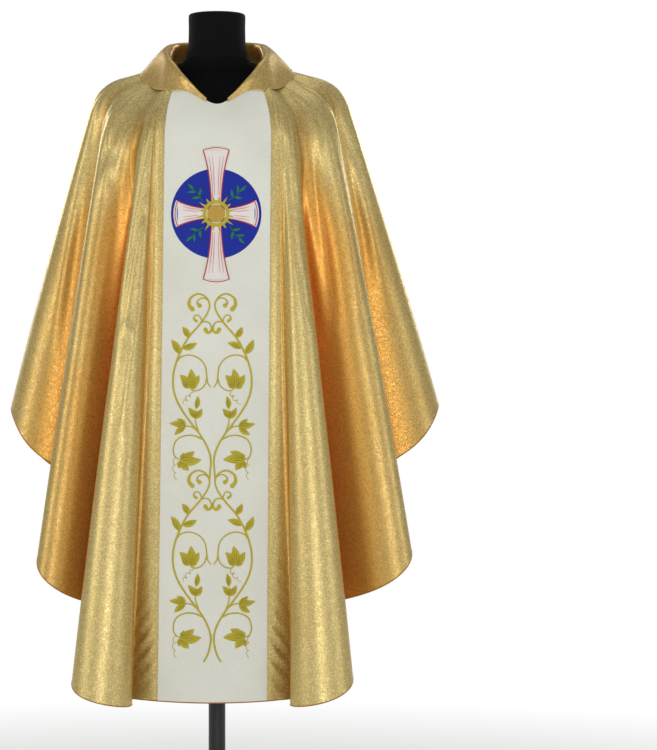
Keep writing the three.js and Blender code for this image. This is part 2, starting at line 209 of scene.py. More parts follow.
# Creases in millimetres: side of the cloth, path as (x, z) pairs from the top, width and height.
# A negative height is a trough.
CREASES = (
    ("front", ((-210, 1361), (-210, 1279), (-216, 1238)), 9, -5),
    ("front", ((-196, 1342), (-205, 1275), (-216, 1200)), 10, 4),
    ("front", ((-179, 1376), (-185, 1346), (-199, 1298), (-211, 1257)), 8, -6),
    ("front", ((-170, 1338), (-180, 1290), (-190, 1230)), 9, 4),
    ("front", ((-124, 1352), (-142, 1335), (-153, 1285)), 7, -5),
    ("front", ((-120, 1278), (-138, 1190), (-161, 1072), (-178, 950)), 6, -4.5),
    ("front", ((-130, 1177), (-143, 1141)), 5, -3),
    ("front", ((-152, 1280), (-166, 1180), (-182, 1060), (-196, 930)), 13, 5),
    ("front", ((-171, 970), (-156, 933)), 8, 3),
    ("front", ((-144, 991), (-164, 866), (-178, 751)), 9, 4),
    ("front", ((-240, 1290), (-262, 1130), (-282, 960), (-300, 800)), 14, -4),
    ("front", ((-258, 1240), (-288, 1080), (-318, 900)), 12, 4),
    ("front", ((123, 1324), (134, 1238), (138, 1188), (149, 1086), (162, 1013), (173, 957)), 5, -4.5),
    ("front", ((145, 1227), (173, 1028), (186, 954)), 9, -5),
    ("front", ((177, 1285), (192, 1171), (208, 1056), (221, 954)), 12, -5),
    ("front", ((160, 1300), (172, 1180), (190, 1050), (204, 920)), 10, 4),
    ("front", ((229, 1350), (247, 1257), (273, 1141), (290, 1030)), 12, -5),
    ("front", ((214, 1340), (232, 1230), (252, 1110), (270, 980)), 11, 4.5),
    ("front", ((146, 1352), (152, 1310), (154, 1262)), 7, -4),
    ("front", ((262, 1290), (292, 1150), (322, 990)), 13, 4),
    ("back", ((-104, 1231), (-112, 1160), (-119, 1082)), 5, -4),
    ("back", ((-112, 1235), (-121, 1160), (-128, 1090)), 5, 3),
    ("back", ((-150, 1330), (-160, 1200), (-180, 1060)), 12, -5),
    ("back", ((-178, 1345), (-196, 1220), (-222, 1080)), 12, 5),
    ("back", ((-215, 1340), (-240, 1210), (-266, 1060)), 12, -5),
    ("back", ((-238, 1330), (-270, 1180), (-300, 1020)), 12, 4),
    ("back", ((120, 1300), (130, 1190), (142, 1060)), 7, -4),
    ("back", ((152, 1340), (166, 1210), (186, 1070)), 12, 5),
    ("back", ((184, 1340), (204, 1200), (228, 1060)), 12, -5),
    ("back", ((214, 1350), (242, 1200), (272, 1040)), 13, 5),
    ("back", ((246, 1330), (280, 1180), (308, 1010)), 12, -4),
)

# Puckers in the strips beside the panels, in millimetres: height, and where they die out upwards
PUCKER_HEIGHT = 4.4
PUCKER_FADES = (400, 570)

# The vine's drawing, in units out from the panel's middle and down from the head of a repeat
VINE_UNIT = 1.84 * MM


@dataclass(frozen=True)
class VineRun:
    """How the vine repeats down a panel, in metres."""

    head: float  # height of the first repeat's head
    repeat: float
    count: int
    axis: float  # the line between its halves
    low: float  # the stitching ends above this height
    across: float  # how long a unit across is
    curls: float  # how long a unit down is in the curls, the top 30 units
    leaves: float  # and below them

    def placed(self, points: object, side: int, head: float) -> Array:
        """Places on the panel of drawing units, on one side of a repeat."""
        across, down = np.asarray(points, float).T
        down = np.minimum(down, 30) * self.curls + np.maximum(down - 30, 0) * self.leaves
        return np.stack([self.axis + side * across * self.across, head - down], -1)


FRONT_VINE = VineRun(1.018, 177 * VINE_UNIT, 2, -0.0087, 0.33, 1.79 * MM, 2.03 * MM, 1.75 * MM)
BACK_VINE = VineRun(1.383, 182 * VINE_UNIT, 4, 0, 0.277, VINE_UNIT, VINE_UNIT, VINE_UNIT)

# Stems: path, then widths at even steps along it
VINE_STEMS = (
    (
        ((20.4, 14.2), (23.8, 10.4), (22.6, 4.2), (14.8, 0.2), (6.8, 2.8), (2.8, 9.6), (4.6, 16.8),
         (9.6, 24), (15.6, 30.8), (23.4, 39.8), (30, 50.6), (35.2, 62.4), (38.8, 73.6), (40.4, 84),
         (40, 95.6), (36.6, 107.6), (30.2, 119.6), (21.8, 131.6), (12.8, 143.6), (5.8, 155.6),
         (2.4, 165)),
        (4.8, 2.2, 1.7, 1.9, 2.1, 2.1, 2.1, 2.1, 2, 2, 1.8),
    ),
    (((13, 10.8), (15.6, 8.2), (13.2, 4.8), (8, 4), (4, 6.4)), (4.6, 2, 1.4, 1.4, 1.4)),
    (((16.4, 24.9), (19, 22.9), (17.9, 20.2), (14.7, 19.5), (12.2, 21.6), (11, 25)), (3, 1.6, 1.3, 1.3)),
    (((7.1, 33), (5, 36), (1.7, 35.2), (0.9, 30.6), (3.2, 26.6), (6.4, 25.4), (10.6, 26)),
     (4.6, 3, 1.8, 1.5, 1.4)),
    (((35.8, 66), (33, 62.4), (23.8, 60), (13.8, 63.4), (7.4, 71.6), (5.6, 83.4), (4.6, 89.4),
      (1.6, 93.8)), (1.8, 1.5, 1.4, 1.5, 1.2)),
    (((5.8, 84), (8, 92), (13.8, 96.8), (19.8, 97.4), (23.4, 93.6)), (1.2, 1.5, 1.3)),
    (((17.6, 126), (16.8, 132.4), (14, 141)), (1.2, 1.5)),
    (((28, 134.6), (21.4, 135.6), (15.4, 140)), (1.3, 1.6)),
    (((10.6, 148.4), (17.8, 145.2), (27.8, 145), (36.8, 149.8), (40, 159.2), (38.4, 166.8),
      (32.6, 170.8)), (1.8, 1.5, 1.3)),
)
# How the main stem goes on into the next repeat, and how the last one ends
VINE_ONWARD = ((1.5, 173), (2.3, 183), (2.9, 192.5))
VINE_END = ((1.5, 172), (3.2, 183), (5.4, 189.4), (8.8, 195.4))
# Leaves: base, tip and width of each lobe
VINE_LOBES = (
    ((24.4, 41.4), (30.8, 30.2), 6.8),
    ((33.8, 58.8), (42.4, 43.6), 7.6),
    ((30.4, 53), (15.6, 47.2), 7),
    ((23.4, 95), (21.8, 74.4), 9.5),
    ((23.4, 94), (33.4, 80.8), 8.4),
    ((23.4, 94), (13.4, 81.2), 8.4),
    ((24.4, 95), (31.6, 88.6), 6),
    ((22.4, 95), (15.4, 89), 6),
    ((16.8, 116.8), (15, 103), 5.6),
    ((17.6, 126.8), (24.8, 115.4), 6.4),
    ((17.6, 126.8), (10.6, 116.4), 6.4),
    ((17.6, 126), (17.6, 118), 6),
    ((26.6, 134.8), (44.4, 132.2), 6.6),
    ((27.4, 134.4), (36.4, 127), 6),
    ((27.4, 135.2), (38.8, 144.2), 6.4),
    ((32.4, 171), (11, 170.2), 9.5),
    ((31.6, 170), (18.4, 161.4), 8.2),
    ((31.6, 172), (24, 181.4), 8),
    ((32, 171), (29, 162.6), 6),
    ((32, 171.4), (34, 179.4), 6),
)
# Coiled tendrils: start, end, loops and loop size
VINE_TENDRILS = (((19, 99), (29.4, 111.8), 3, 1.7), ((38.2, 168), (37, 191.4), 3, 1.5))

# The roundel, in millimetres from its centre
ROUNDEL_AT = (-1.5, 1167)
DISC_RADIUS = 84
CROSS_ARMS = ((0, 118), (90, 71), (180, 122), (270, 71))  # bearing from the top, length
SUN_RADIUS = 25
SUN_RAYS = 16
SPRIG_LEAVES = (  # base, tip and width, on an upright arm
    ((0, 42), (-13, 52), 6),
    ((1, 46), (14, 55), 6),
    ((1, 55), (-10, 66), 5.4),
    ((1, 60), (2, 77), 6),
)

# Stage: square lights with their place, size, power and colour, and the camera
LIGHTS = (
    ("key", (-3.8, -3.6, 2.2), 1.6, 40, "#FFFBF2"),
    ("fill", (4.0, -3.7, 1.8), 2.0, 26, "#FFFFFF"),
    ("front", (0.1, -5.4, 1.4), 1.4, 42, "#FFFFFF"),
    ("top", (0.2, 0.4, 4.2), 2.0, 12, "#FFFFFF"),
    ("rear_left", (-3.0, 3.8, 2.8), 2.0, 62, "#FFFFFF"),
    ("rear_right", (3.0, 3.8, 2.8), 2.0, 62, "#FFFFFF"),
)
LIGHTS_LOOK_AT = (0, 0, 0.9)
SURROUND = 0.34  # how strongly the white surround lights the part
FLOOR_REACH = 12
CAMERA_AT = (0, -5.5, 0.868)
FOCAL_LENGTH, SENSOR = 138.9, 36
CAMERA_SHIFT = (328.5 - 217) / 750  # the part stands left of the middle


class Slot(Enum):
    """Material slots."""

    LAME = "gold_lame"
    CREAM = "cream_moire"
    JERSEY = "black_jersey"
    STEEL = "black_steel"
    THREAD = "embroidery"


# ---------------------------------------------------------------- small maths


def unit(a: Array) -> Array:
    """Vectors of length one."""
    return a / np.maximum(np.linalg.norm(a, axis=-1, keepdims=True), 1e-12)


def smoothstep(a: Array, low: float, high: float) -> Array:
    """0 below low, 1 above high and a smooth cubic rise between."""
    t = np.clip((a - low) / (high - low), 0, 1)
    return t * t * (3 - 2 * t)


def linear(code: str) -> tuple[float, float, float, float]:
    """A linear colour from an sRGB hex code, for shader sockets."""
    parts = [int(code[i : i + 2], 16) / 255 for i in (1, 3, 5)]
    lit = [c / 12.92 if c <= 0.04045 else ((c + 0.055) / 1.055) ** 2.4 for c in parts]
    return (*lit, 1.0)


def catmull(points: Array, t: Array) -> Array:
    """Centripetal Catmull-Rom curves, whose ends run straight on past the end points.

    Args:
        points: (n, k, d) the points of n curves.
        t: (m,) places along each curve, from 0 to 1.

    Returns:
        (n, m, d) points on the curves.
    """
    first = 2 * points[:, :1] - points[:, 1:2]
    last = 2 * points[:, -1:] - points[:, -2:-1]
    padded = np.concatenate([first, points, last], axis=1)
    place = np.clip(t, 0, 1) * (points.shape[1] - 1)
    i = np.minimum(place.astype(int), points.shape[1] - 2)
    w = (place - i)[None, :, None]
    x0, x1, x2, x3 = (padded[:, i + k] for k in range(4))
    d0, d1, d2 = (
        np.sqrt(np.maximum(np.linalg.norm(b - a, axis=-1, keepdims=True), 1e-9))
        for a, b in ((x0, x1), (x1, x2), (x2, x3))
    )
    leave = ((x1 - x0) / d0 - (x2 - x0) / (d0 + d1) + (x2 - x1) / d1) * d1
    arrive = ((x2 - x1) / d1 - (x3 - x1) / (d1 + d2) + (x3 - x2) / d2) * d1
    a = 2 * x1 - 2 * x2 + leave + arrive
    b = -3 * x1 + 3 * x2 - 2 * leave - arrive
    return ((a * w + b) * w + leave) * w + x1


def rounded(path: Array, count: int) -> Array:
    """A smooth curve through a path's points, at even places, as (count, d)."""
    return catmull(np.asarray(path, float)[None], np.linspace(0, 1, count))[0]


def run_along(points: Array, axis: int = 0) -> Array:
    """How far along its line each point lies, in the points' unit."""
    steps = np.linalg.norm(np.diff(points, axis=axis), axis=-1)
    start = np.zeros_like(np.take(steps, [0], axis))
    return np.concatenate([start, np.cumsum(steps, axis=axis)], axis=axis)


def eased(x: Array, rows: Array, column: int) -> Array:
    """A cubic through a table's column, over its first column, without kinks at the rows."""
    at, value = rows[:, 0], rows[:, column]
    slope = np.gradient(value, at)
    x = np.clip(x, at[0], at[-1])
    i = np.clip(np.searchsorted(at, x) - 1, 0, len(at) - 2)
    span = at[i + 1] - at[i]
    t = (x - at[i]) / span
    return (
        (2 * t**3 - 3 * t**2 + 1) * value[i]
        + (t**3 - 2 * t**2 + t) * span * slope[i]
        + (3 * t**2 - 2 * t**3) * value[i + 1]
        + (t**3 - t**2) * span * slope[i + 1]
    )


# ---------------------------------------------------------------- meshes


def grid_quads(rows: int, columns: int, start: int = 0) -> Array:
    """Quads of a grid of points numbered row by row, as (quads, 4) numbers."""
    i, j = np.meshgrid(np.arange(rows - 1), np.arange(columns - 1), indexing="ij")
    a = (start + i * columns + j).ravel()
    return np.stack([a, a + 1, a + columns + 1, a + columns], axis=1)


def make_mesh(name: str, points: Array, quads: Array, uv: Array | None = None,
              values: dict[str, Array] | None = None, sharp: float = 50) -> bpy.types.Object:
    """An object at the origin from whole arrays, shaded smooth with sharp edges over an angle.

    Args:
        points: (n, 3) in metres. quads: (m, 4) point numbers, outward by the right-hand rule.
        uv: (n, 2) in metres. values: named numbers of each point, for the materials.
        sharp: the angle in degrees over which an edge stays sharp.
    """
    mesh = bpy.data.meshes.new(name)
    mesh.vertices.add(len(points))
    mesh.vertices.foreach_set("co", np.ascontiguousarray(points, np.float32).ravel())
    mesh.loops.add(quads.size)
    mesh.loops.foreach_set("vertex_index", quads.astype(np.int32).ravel())
    mesh.polygons.add(len(quads))
    mesh.polygons.foreach_set("loop_start", np.arange(len(quads), dtype=np.int32) * 4)
    mesh.polygons.foreach_set("use_smooth", np.ones(len(quads), bool))
    mesh.update(calc_edges=True)
    if uv is not None:
        layer = mesh.uv_layers.new(name="Cloth")
        layer.data.foreach_set("uv", uv[quads.ravel()].astype(np.float32).ravel())
    for key, value in (values or {}).items():
        mesh.attributes.new(key, "FLOAT", "POINT").data.foreach_set("value", value.astype(np.float32))
    mesh.validate()
    mesh.set_sharp_from_angle(angle=math.radians(sharp))
    made = bpy.data.objects.new(name, mesh)
    bpy.context.scene.collection.objects.link(made)
    log.info("%s: %d points, %d faces", name, len(points), len(quads))
    return made


def wall_arrays(middle: Array, normals: Array, thickness: float) -> tuple[Array, Array]:
    """Points and quads of a closed wall on a grid: two skins, then the four edges between them.

    Args:
        middle: (n, m, 3) the middle surface, n columns of m rows. normals: the same, outward.
    """
    n, m = middle.shape[:2]
    skins = [middle + normals * thickness / 2, middle - normals * thickness / 2]
    points = np.concatenate([s.reshape(-1, 3) for s in skins])
    number = np.arange(2 * n * m).reshape(2, n, m)
    outer, inner = number
    a, b = outer[:-1, :-1], outer[1:, :-1]
    c, d = outer[1:, 1:], outer[:-1, 1:]
    front = np.stack([a, d, c, b], -1).reshape(-1, 4)
    back = np.stack([a, b, c, d], -1).reshape(-1, 4) + n * m
    edges = []
    for o, i in ((outer[:, 0], inner[:, 0]), (inner[:, -1], outer[:, -1]),
                 (inner[0], outer[0]), (outer[-1], inner[-1])):
        edges.append(np.stack([o[:-1], o[1:], i[1:], i[:-1]], -1))
    return points, np.concatenate([front, back, *edges])


def tube_arrays(path: Array, radius: float, across: Array) -> tuple[Array, Array]:
    """Points and quads of a round tube along an open path, its first side towards across."""
    along = unit(np.gradient(path, axis=0))
    side = unit(across - along * np.sum(across * along, -1, keepdims=True))
    up = np.cross(along, side)
    angle = np.linspace(0, 2 * np.pi, TUBE_SIDES + 1)[None, :, None]
    ring = side[:, None] * np.cos(angle) + up[:, None] * np.sin(angle)
    points = path[:, None] + ring * radius
    return points.reshape(-1, 3), grid_quads(len(path), TUBE_SIDES + 1)[:, ::-1]


def tube_uv(path: Array) -> Array:
    """Thread coordinates of a tube's points, which run along its path alone."""
    run = np.repeat(run_along(path), TUBE_SIDES + 1)
    return np.stack([run, np.zeros_like(run)], -1)


def joined(parts: list[tuple[Array, Array]]) -> tuple[Array, Array]:
    """Several point and quad arrays as one."""
    counts = np.cumsum([0] + [len(p) for p, _ in parts])
    return (
        np.concatenate([p for p, _ in parts]),
        np.concatenate([q + c for (_, q), c in zip(parts, counts)]),
    )


def turned(name: str, outline: tuple[tuple[float, float], ...], sides: int = 96) -> bpy.types.Object:
    """A solid of revolution about Z from its outline, as radius and height in metres, bottom up."""
    r, z = np.asarray(outline, float).T
    a = np.linspace(0, 2 * np.pi, sides + 1)[:, None]
    points = np.stack([r * np.cos(a), r * np.sin(a), z + 0 * a], -1)
    return make_mesh(name, points.reshape(-1, 3), grid_quads(sides + 1, len(r))[:, ::-1], sharp=35)


# ---------------------------------------------------------------- the cloth's form


@dataclass(frozen=True)
class Drape:
    """The cloth's middle surface by fold lines, each from the neck over its break to the hem."""

    neck: Array
    corner: Array
    hem: Array
    early: Array

    @classmethod
    def from_tables(cls) -> "Drape":
        """The lines once round, from the front centre over +X to the back centre and on."""
        quarter = np.arange(1, BACK_AT)
        neck = catmull(np.array(NECKLINE, float)[None], neck_place(quarter) / 6)[0]
        neck[SEAM_AT - 1] = NECKLINE[3]
        rows = [*FRONT_LINES, SEAM_LINE, *reversed(BACK_LINES)]
        corner, hem, drift = (np.array([row[k] for row in rows], float) for k in (1, 2, 3))
        early = hem.copy()
        for k in range(3):
            early[EDGE_LINE + k] = EARLY["front"][k][1]
            early[BACK_AT - EDGE_LINE - 2 - k] = EARLY["back"][k][1]
        ends = {}
        for key, (own, extra) in {
            "corner": (corner, 0), "hem": (hem, drift), "early": (early, drift)
        }.items():
            ends[key] = (own + extra, own * (-1, 1, 1))
        left = ends["corner"][0] * LEFT_SHOULDER

        def loop(front: Array, plus: Array, back: Array, minus: Array) -> Array:
            return np.concatenate([[front], plus, [back], minus[::-1]]) * MM

        centres = [np.array(row[1], float) * LEFT_SHOULDER for row in (FRONT_CENTRE, BACK_CENTRE)]
        return cls(
            loop(NECKLINE[0], neck, NECKLINE[-1], neck * (-1, 1, 1)),
            loop(centres[0], left, centres[1], ends["corner"][1]),
            loop(FRONT_CENTRE[2], ends["hem"][0], BACK_CENTRE[2], ends["hem"][1]),
            loop(FRONT_CENTRE[2], ends["early"][0], BACK_CENTRE[2], ends["early"][1]),
        )

    def _splined(self, ends: Array, u: Array) -> Array:
        """Points at line numbers u by the uniform cubic B-spline over all lines."""
        i = np.floor(u).astype(int)
        t = (u - i)[..., None]
        weights = (
            (1 - t) ** 3 / 6,
            (3 * t**3 - 6 * t**2 + 4) / 6,
            (-3 * t**3 + 3 * t**2 + 3 * t + 1) / 6,
            t**3 / 6,
        )
        return sum(w * ends[(i - 1 + k) % LINES] for k, w in enumerate(weights))

    def at(self, u: Array, v: Array) -> Array:
        """Points of the surface.

        v runs from 0 at the neck straight to 1, over a parabola about the break point to 2, and
        straight to 3 at the hem, bowed out sideways by a share of the line's own spread.

        Args:
            u: line numbers. v: places down the lines, of the same shape.
        """
        ends = (self.neck, self.corner, self.hem, self.early)
        neck, corner, hem, early = (self._splined(e, u) for e in ends)
        v = v[..., None]
        reach = np.linalg.norm(neck - corner, axis=-1, keepdims=True)
        start = corner + unit(neck - corner) * np.minimum(SHOULDER_ROUND, 0.55 * reach)
        end = corner + unit(hem - corner) * SHOULDER_ROUND
        a, b, c = (np.clip(v - k, 0, 1) for k in range(3))
        yoke = neck + (start - neck) * a
        bend = start * (1 - b) ** 2 + corner * 2 * b * (1 - b) + end * b**2
        hang = end + (early - end) * c + (hem - early) * c**OPENS_LATE
        hang[..., :2] += (hem - end)[..., :2] * SPREAD_EARLY * c * (1 - c)
        return np.where(v <= 1, yoke, np.where(v <= 2, bend, hang))

    def normal(self, u: Array, v: Array) -> Array:
        """Outward normals of the plain surface."""
        step = 1e-3
        down = self.at(u, np.minimum(v + step, 3)) - self.at(u, np.maximum(v - step, 0))
        return unit(np.cross(down, self.at(u + step, v) - self.at(u - step, v)))


def neck_place(u: Array) -> Array:
    """The place on the neckline, 0 at the front centre to 6 at the back one, of line numbers."""
    near = np.minimum(u, LINES - u)
    side = 2 + (near - EDGE_LINE) / (SEAM_AT - EDGE_LINE)
    back = 4 + near - (BACK_AT - EDGE_LINE)
    return np.where(near < EDGE_LINE, near, np.where(near < BACK_AT - EDGE_LINE, side, back))


@dataclass
class ClothGrid:
    """The whole cloth on one closed grid, with its relief, normals and what the finishes read."""

    drape: Drape
    us: Array = field(init=False)
    vs: Array = field(init=False)
    points: Array = field(init=False)
    normals: Array = field(init=False)
    run: Array = field(init=False)
    fold_shade: Array = field(init=False)

    def __post_init__(self) -> None:
        self.us = np.arange(LINES * PER_LINE) / PER_LINE
        parts = [np.linspace(k, k + 1, count + 1)[1:] for k, count in enumerate(ROWS)]
        self.vs = np.concatenate([[0], *parts])
        u, v = np.meshgrid(self.us, self.vs, indexing="ij")
        self.points = self.drape.at(u, v)
        self.normals = self._grid_normals()
        self.run = run_along(self.points, 1)
        self.points = self.points + self.normals * self._relief(u, v)[..., None]
        self.normals = self._grid_normals()
        self.fold_shade = self._fold_shades()

    def _grid_normals(self) -> Array:
        """Outward normals from the differences between neighbouring points."""
        along = np.roll(self.points, -1, axis=0) - np.roll(self.points, 1, axis=0)
        return unit(np.cross(np.gradient(self.points, axis=1), along))

    def _relief(self, u: Array, v: Array) -> Array:
        """How far each point is moved out along its normal, in metres.

        The sum of the creases, each a bell-shaped ridge or trough along its path; slow waves
        down and across the cloth; fine slanting puckers in the strips beside the panels near the
        hem; and soft waves in the panels. All of it dies out under the collar, and all but the
        creases at the panels' seams.
        """
        p, n = self.points / MM, self.normals
        total = np.zeros(u.shape)
        for side, path, width, height in CREASES:
            facing = -n[..., 1] if side == "front" else n[..., 1]
            distance, share = nearest(p[..., ::2], np.array(path, float))
            bell = np.exp(-((distance / width) ** 2))
            bell = bell * np.sin(np.pi * share) ** 0.7 * smoothstep(facing, 0.05, 0.4)
            total += 0.75 * height * bell
        near = np.minimum(u, LINES - u)
        from_front, from_back = near - EDGE_LINE, BACK_AT - EDGE_LINE - near
        on_side = np.minimum(from_front, from_back)
        seams = smoothstep(np.abs(on_side), 0.05, 0.8)
        drop = v / 3
        waves = (
            0.7 * np.sin(1.7 * u + 5.0 * drop + 0.6) * np.sin(7.1 * drop + 0.35 * u)
            + 0.5 * np.sin(2.9 * u - 9.0 * drop + 2.1)
            + 0.3 * np.sin(4.6 * u + 14.0 * drop + 4.0) * smoothstep(drop, 0.2, 0.5)
        )
        over_bend = np.exp(-(((v - 1.5) / 0.55) ** 2))
        gathers = 0.7 * np.sin(6.3 * u + 1.1 * np.sin(3.0 * u)) * over_bend
        total += np.where(on_side > 0, waves + gathers, 0) * seams
        z = p[..., 2]
        low = 1 - smoothstep(z, *PUCKER_FADES)
        beside = np.exp(-(((on_side - 0.8) / 0.8) ** 2)) * smoothstep(on_side, 0, 0.35)
        pucker = np.sin(z / 5.2 + 5.5 * on_side) * (0.6 + 0.4 * np.sin(z / 31 + u))
        total += np.where(on_side > 0, PUCKER_HEIGHT * pucker * low * beside, 0)
        panel = 1.1 * np.sin(z / 71 + 1.3 * np.sin(u)) * np.cos(0.9 * (near % BACK_AT))
        total += np.where(on_side < 0, panel, 0) * seams
        fall = eased(neck_place(u), np.array(COLLAR, float), 3)
        return total * MM * smoothstep(self.run / MM - fall, 4, 46)

    def _fold_shades(self) -> Array:
        """From 0 to 1, how much painted shade each point gets, in the orange of the silk ground.

        It stands for the folds' shade and the light bounced between them: the painted shade of its line,
        none at the neck and weak down to the chest, and a share for how far out along the normal the
        middle of its neighbours lies from the point itself, which is most in creases.
        """
        total = 0
        for reach in (6, 11, 17):
            before, after = (np.roll(self.points, k, axis=0) for k in (reach, -reach))
            span = np.linalg.norm(after - before, axis=-1) + 1e-6
            rise = np.sum(((before + after) / 2 - self.points) * self.normals, axis=-1)
            total = total + np.clip(rise / span, -0.5, 0.5)
        for _ in range(3):
            total = (total + np.roll(total, 1, axis=0) + np.roll(total, -1, axis=0)) / 3
        near = np.minimum(self.us, LINES - self.us)
        from_panel = np.minimum(near, BACK_AT - near)
        line_shade = np.interp(from_panel, np.arange(SEAM_AT + 1), LINE_SHADE)
        for _ in range(8):
            line_shade = (line_shade + np.roll(line_shade, 1) + np.roll(line_shade, -1)) / 3
        weaker = 1 - 0.8 * smoothstep(self.points[..., 2], *SHADE_FADES)
        line_shade = line_shade[:, None] * weaker * smoothstep(self.vs, 0.7, 1.9)
        return np.clip(0.9 * line_shade + 0.4 * np.clip(total, -0.3, 0.5), 0, 1)

    def columns(self, start: float, end: float) -> Array:
        """Numbers of the columns from one line to another."""
        return np.arange(round(start * PER_LINE), round(end * PER_LINE) + 1) % len(self.us)

    def sample(self, u: Array, v: Array) -> tuple[Array, Array]:
        """Points and normals of the finished surface between its grid points."""
        i = (u * PER_LINE) % len(self.us)
        j = np.interp(v, self.vs, np.arange(len(self.vs)))
        i0 = np.floor(i).astype(int)
        j0 = np.minimum(np.floor(j).astype(int), len(self.vs) - 2)
        s, t = (i - i0)[..., None], (j - j0)[..., None]
        i1 = (i0 + 1) % len(self.us)
        i0 = i0 % len(self.us)

        def between(a: Array) -> Array:
            top = a[i0, j0] * (1 - s) + a[i1, j0] * s
            return top * (1 - t) + (a[i0, j0 + 1] * (1 - s) + a[i1, j0 + 1] * s) * t

        return between(self.points), unit(between(self.normals))

    def place(self, x: Array, z: Array, back: bool) -> tuple[Array, Array]:
        """Points and normals of a panel at places of its plane, found by Newton's steps.

        Args:
            x: metres to +X. z: metres up. back: on the back panel instead of the front one.
        """
        middle = BACK_AT if back else 0
        u = np.full(x.shape, float(middle)) + x / (-PANEL_LINE if back else PANEL_LINE)
        v = np.clip(2 + (PANEL_BREAK - z) / PANEL_DROP, 0.3, 3)
        step = 1e-3
        for _ in range(7):
            here = self.drape.at(u, v)
            du = (self.drape.at(u + step, v) - here) / step
            dv = (here - self.drape.at(u, v - step)) / step
            ex, ez = x - here[..., 0], z - here[..., 2]
            det = du[..., 0] * dv[..., 2] - du[..., 2] * dv[..., 0]
            det = np.where(np.abs(det) < 1e-7, 1e-7, det)
            u = np.clip(u + (ex * dv[..., 2] - ez * dv[..., 0]) / det, middle - 2, middle + 2)
            v = np.clip(v + (du[..., 0] * ez - du[..., 2] * ex) / det, step, 3)
        return self.sample(u, v)


def nearest(points: Array, path: Array) -> tuple[Array, Array]:
    """Distance of points in a plane to a path, and the share of the path where it is nearest."""
    lengths = np.linalg.norm(np.diff(path, axis=0), axis=1)
    before = np.concatenate([[0], np.cumsum(lengths)])
    best = np.full(points.shape[:-1], np.inf)
    share = np.zeros(points.shape[:-1])
    for a, b, length, run in zip(path, path[1:], lengths, before):
        t = np.clip((points - a) @ (b - a) / length**2, 0, 1)
        distance = np.linalg.norm(points - a - t[..., None] * (b - a), axis=-1)
        closer = distance < best
        best = np.where(closer, distance, best)
        share = np.where(closer, (run + t * length) / before[-1], share)
    return best, share


# ---------------------------------------------------------------- finishes


def add(tree: bpy.types.NodeTree, kind: str, inputs: dict | None = None,
        **settings: object) -> bpy.types.Node:
    """Add a node.

    Args:
        kind: the node's type, without "ShaderNode". inputs: a value or an output socket for each
        input, by name or number. settings: the node's own settings.
    """
    made = tree.nodes.new("ShaderNode" + kind)
    for key, value in settings.items():
        setattr(made, key, value)
    for key, value in (inputs or {}).items():
        if isinstance(value, bpy.types.NodeSocket):
            tree.links.new(value, made.inputs[key])
        else:
            made.inputs[key].default_value = value
    return made


def mixed(tree: bpy.types.NodeTree, share: object, a: object, b: object,
          blend: str = "MIX") -> bpy.types.NodeSocket:
    """The colour between a and b by a share, or a with b blended over it."""
    return add(tree, "Mix", {0: share, 6: a, 7: b}, data_type="RGBA", blend_type=blend).outputs[2]


def maths(tree: bpy.types.NodeTree, operation: str, a: object, b: object = 0.5) -> bpy.types.NodeSocket:
    """The result of an operation on one or two values."""
    return add(tree, "Math", {0: a, 1: b}, operation=operation).outputs[0]


def noise(tree: bpy.types.NodeTree, place: object, scale: float, detail: float) -> bpy.types.NodeSocket:
    """Noise over a place, about 0.5."""
    inputs = {"Vector": place, "Scale": scale, "Detail": detail}
    return add(tree, "TexNoise", inputs).outputs["Fac"]


def bump(tree: bpy.types.NodeTree, shader: bpy.types.Node, height: object, strength: float,
         distance: float) -> None:
    """Let a fine height break the light on a finish."""
    made = add(tree, "Bump", {"Height": height, "Strength": strength, "Distance": distance})
    tree.links.new(made.outputs[0], shader.inputs["Normal"])


def ranged(tree: bpy.types.NodeTree, value: object, low: float, high: float,
           to_low: float, to_high: float) -> bpy.types.NodeSocket:
    """A value moved from one range into another, held at its ends."""
    keys = {"Value": value, "From Min": low, "From Max": high, "To Min": to_low, "To Max": to_high}
    return add(tree, "MapRange", keys).outputs["Result"]


def new_material(name: str, **sockets: object) -> tuple[
        bpy.types.Material, bpy.types.NodeTree, bpy.types.Node]:
    """A material and its shader, with constants set on the shader's own sockets."""
    material = bpy.data.materials.new(name)
    material.use_nodes = True
    tree = material.node_tree
    shader = tree.nodes["Principled BSDF"]
    for key, value in sockets.items():
        shader.inputs[key.replace("_", " ")].default_value = value
    return material, tree, shader


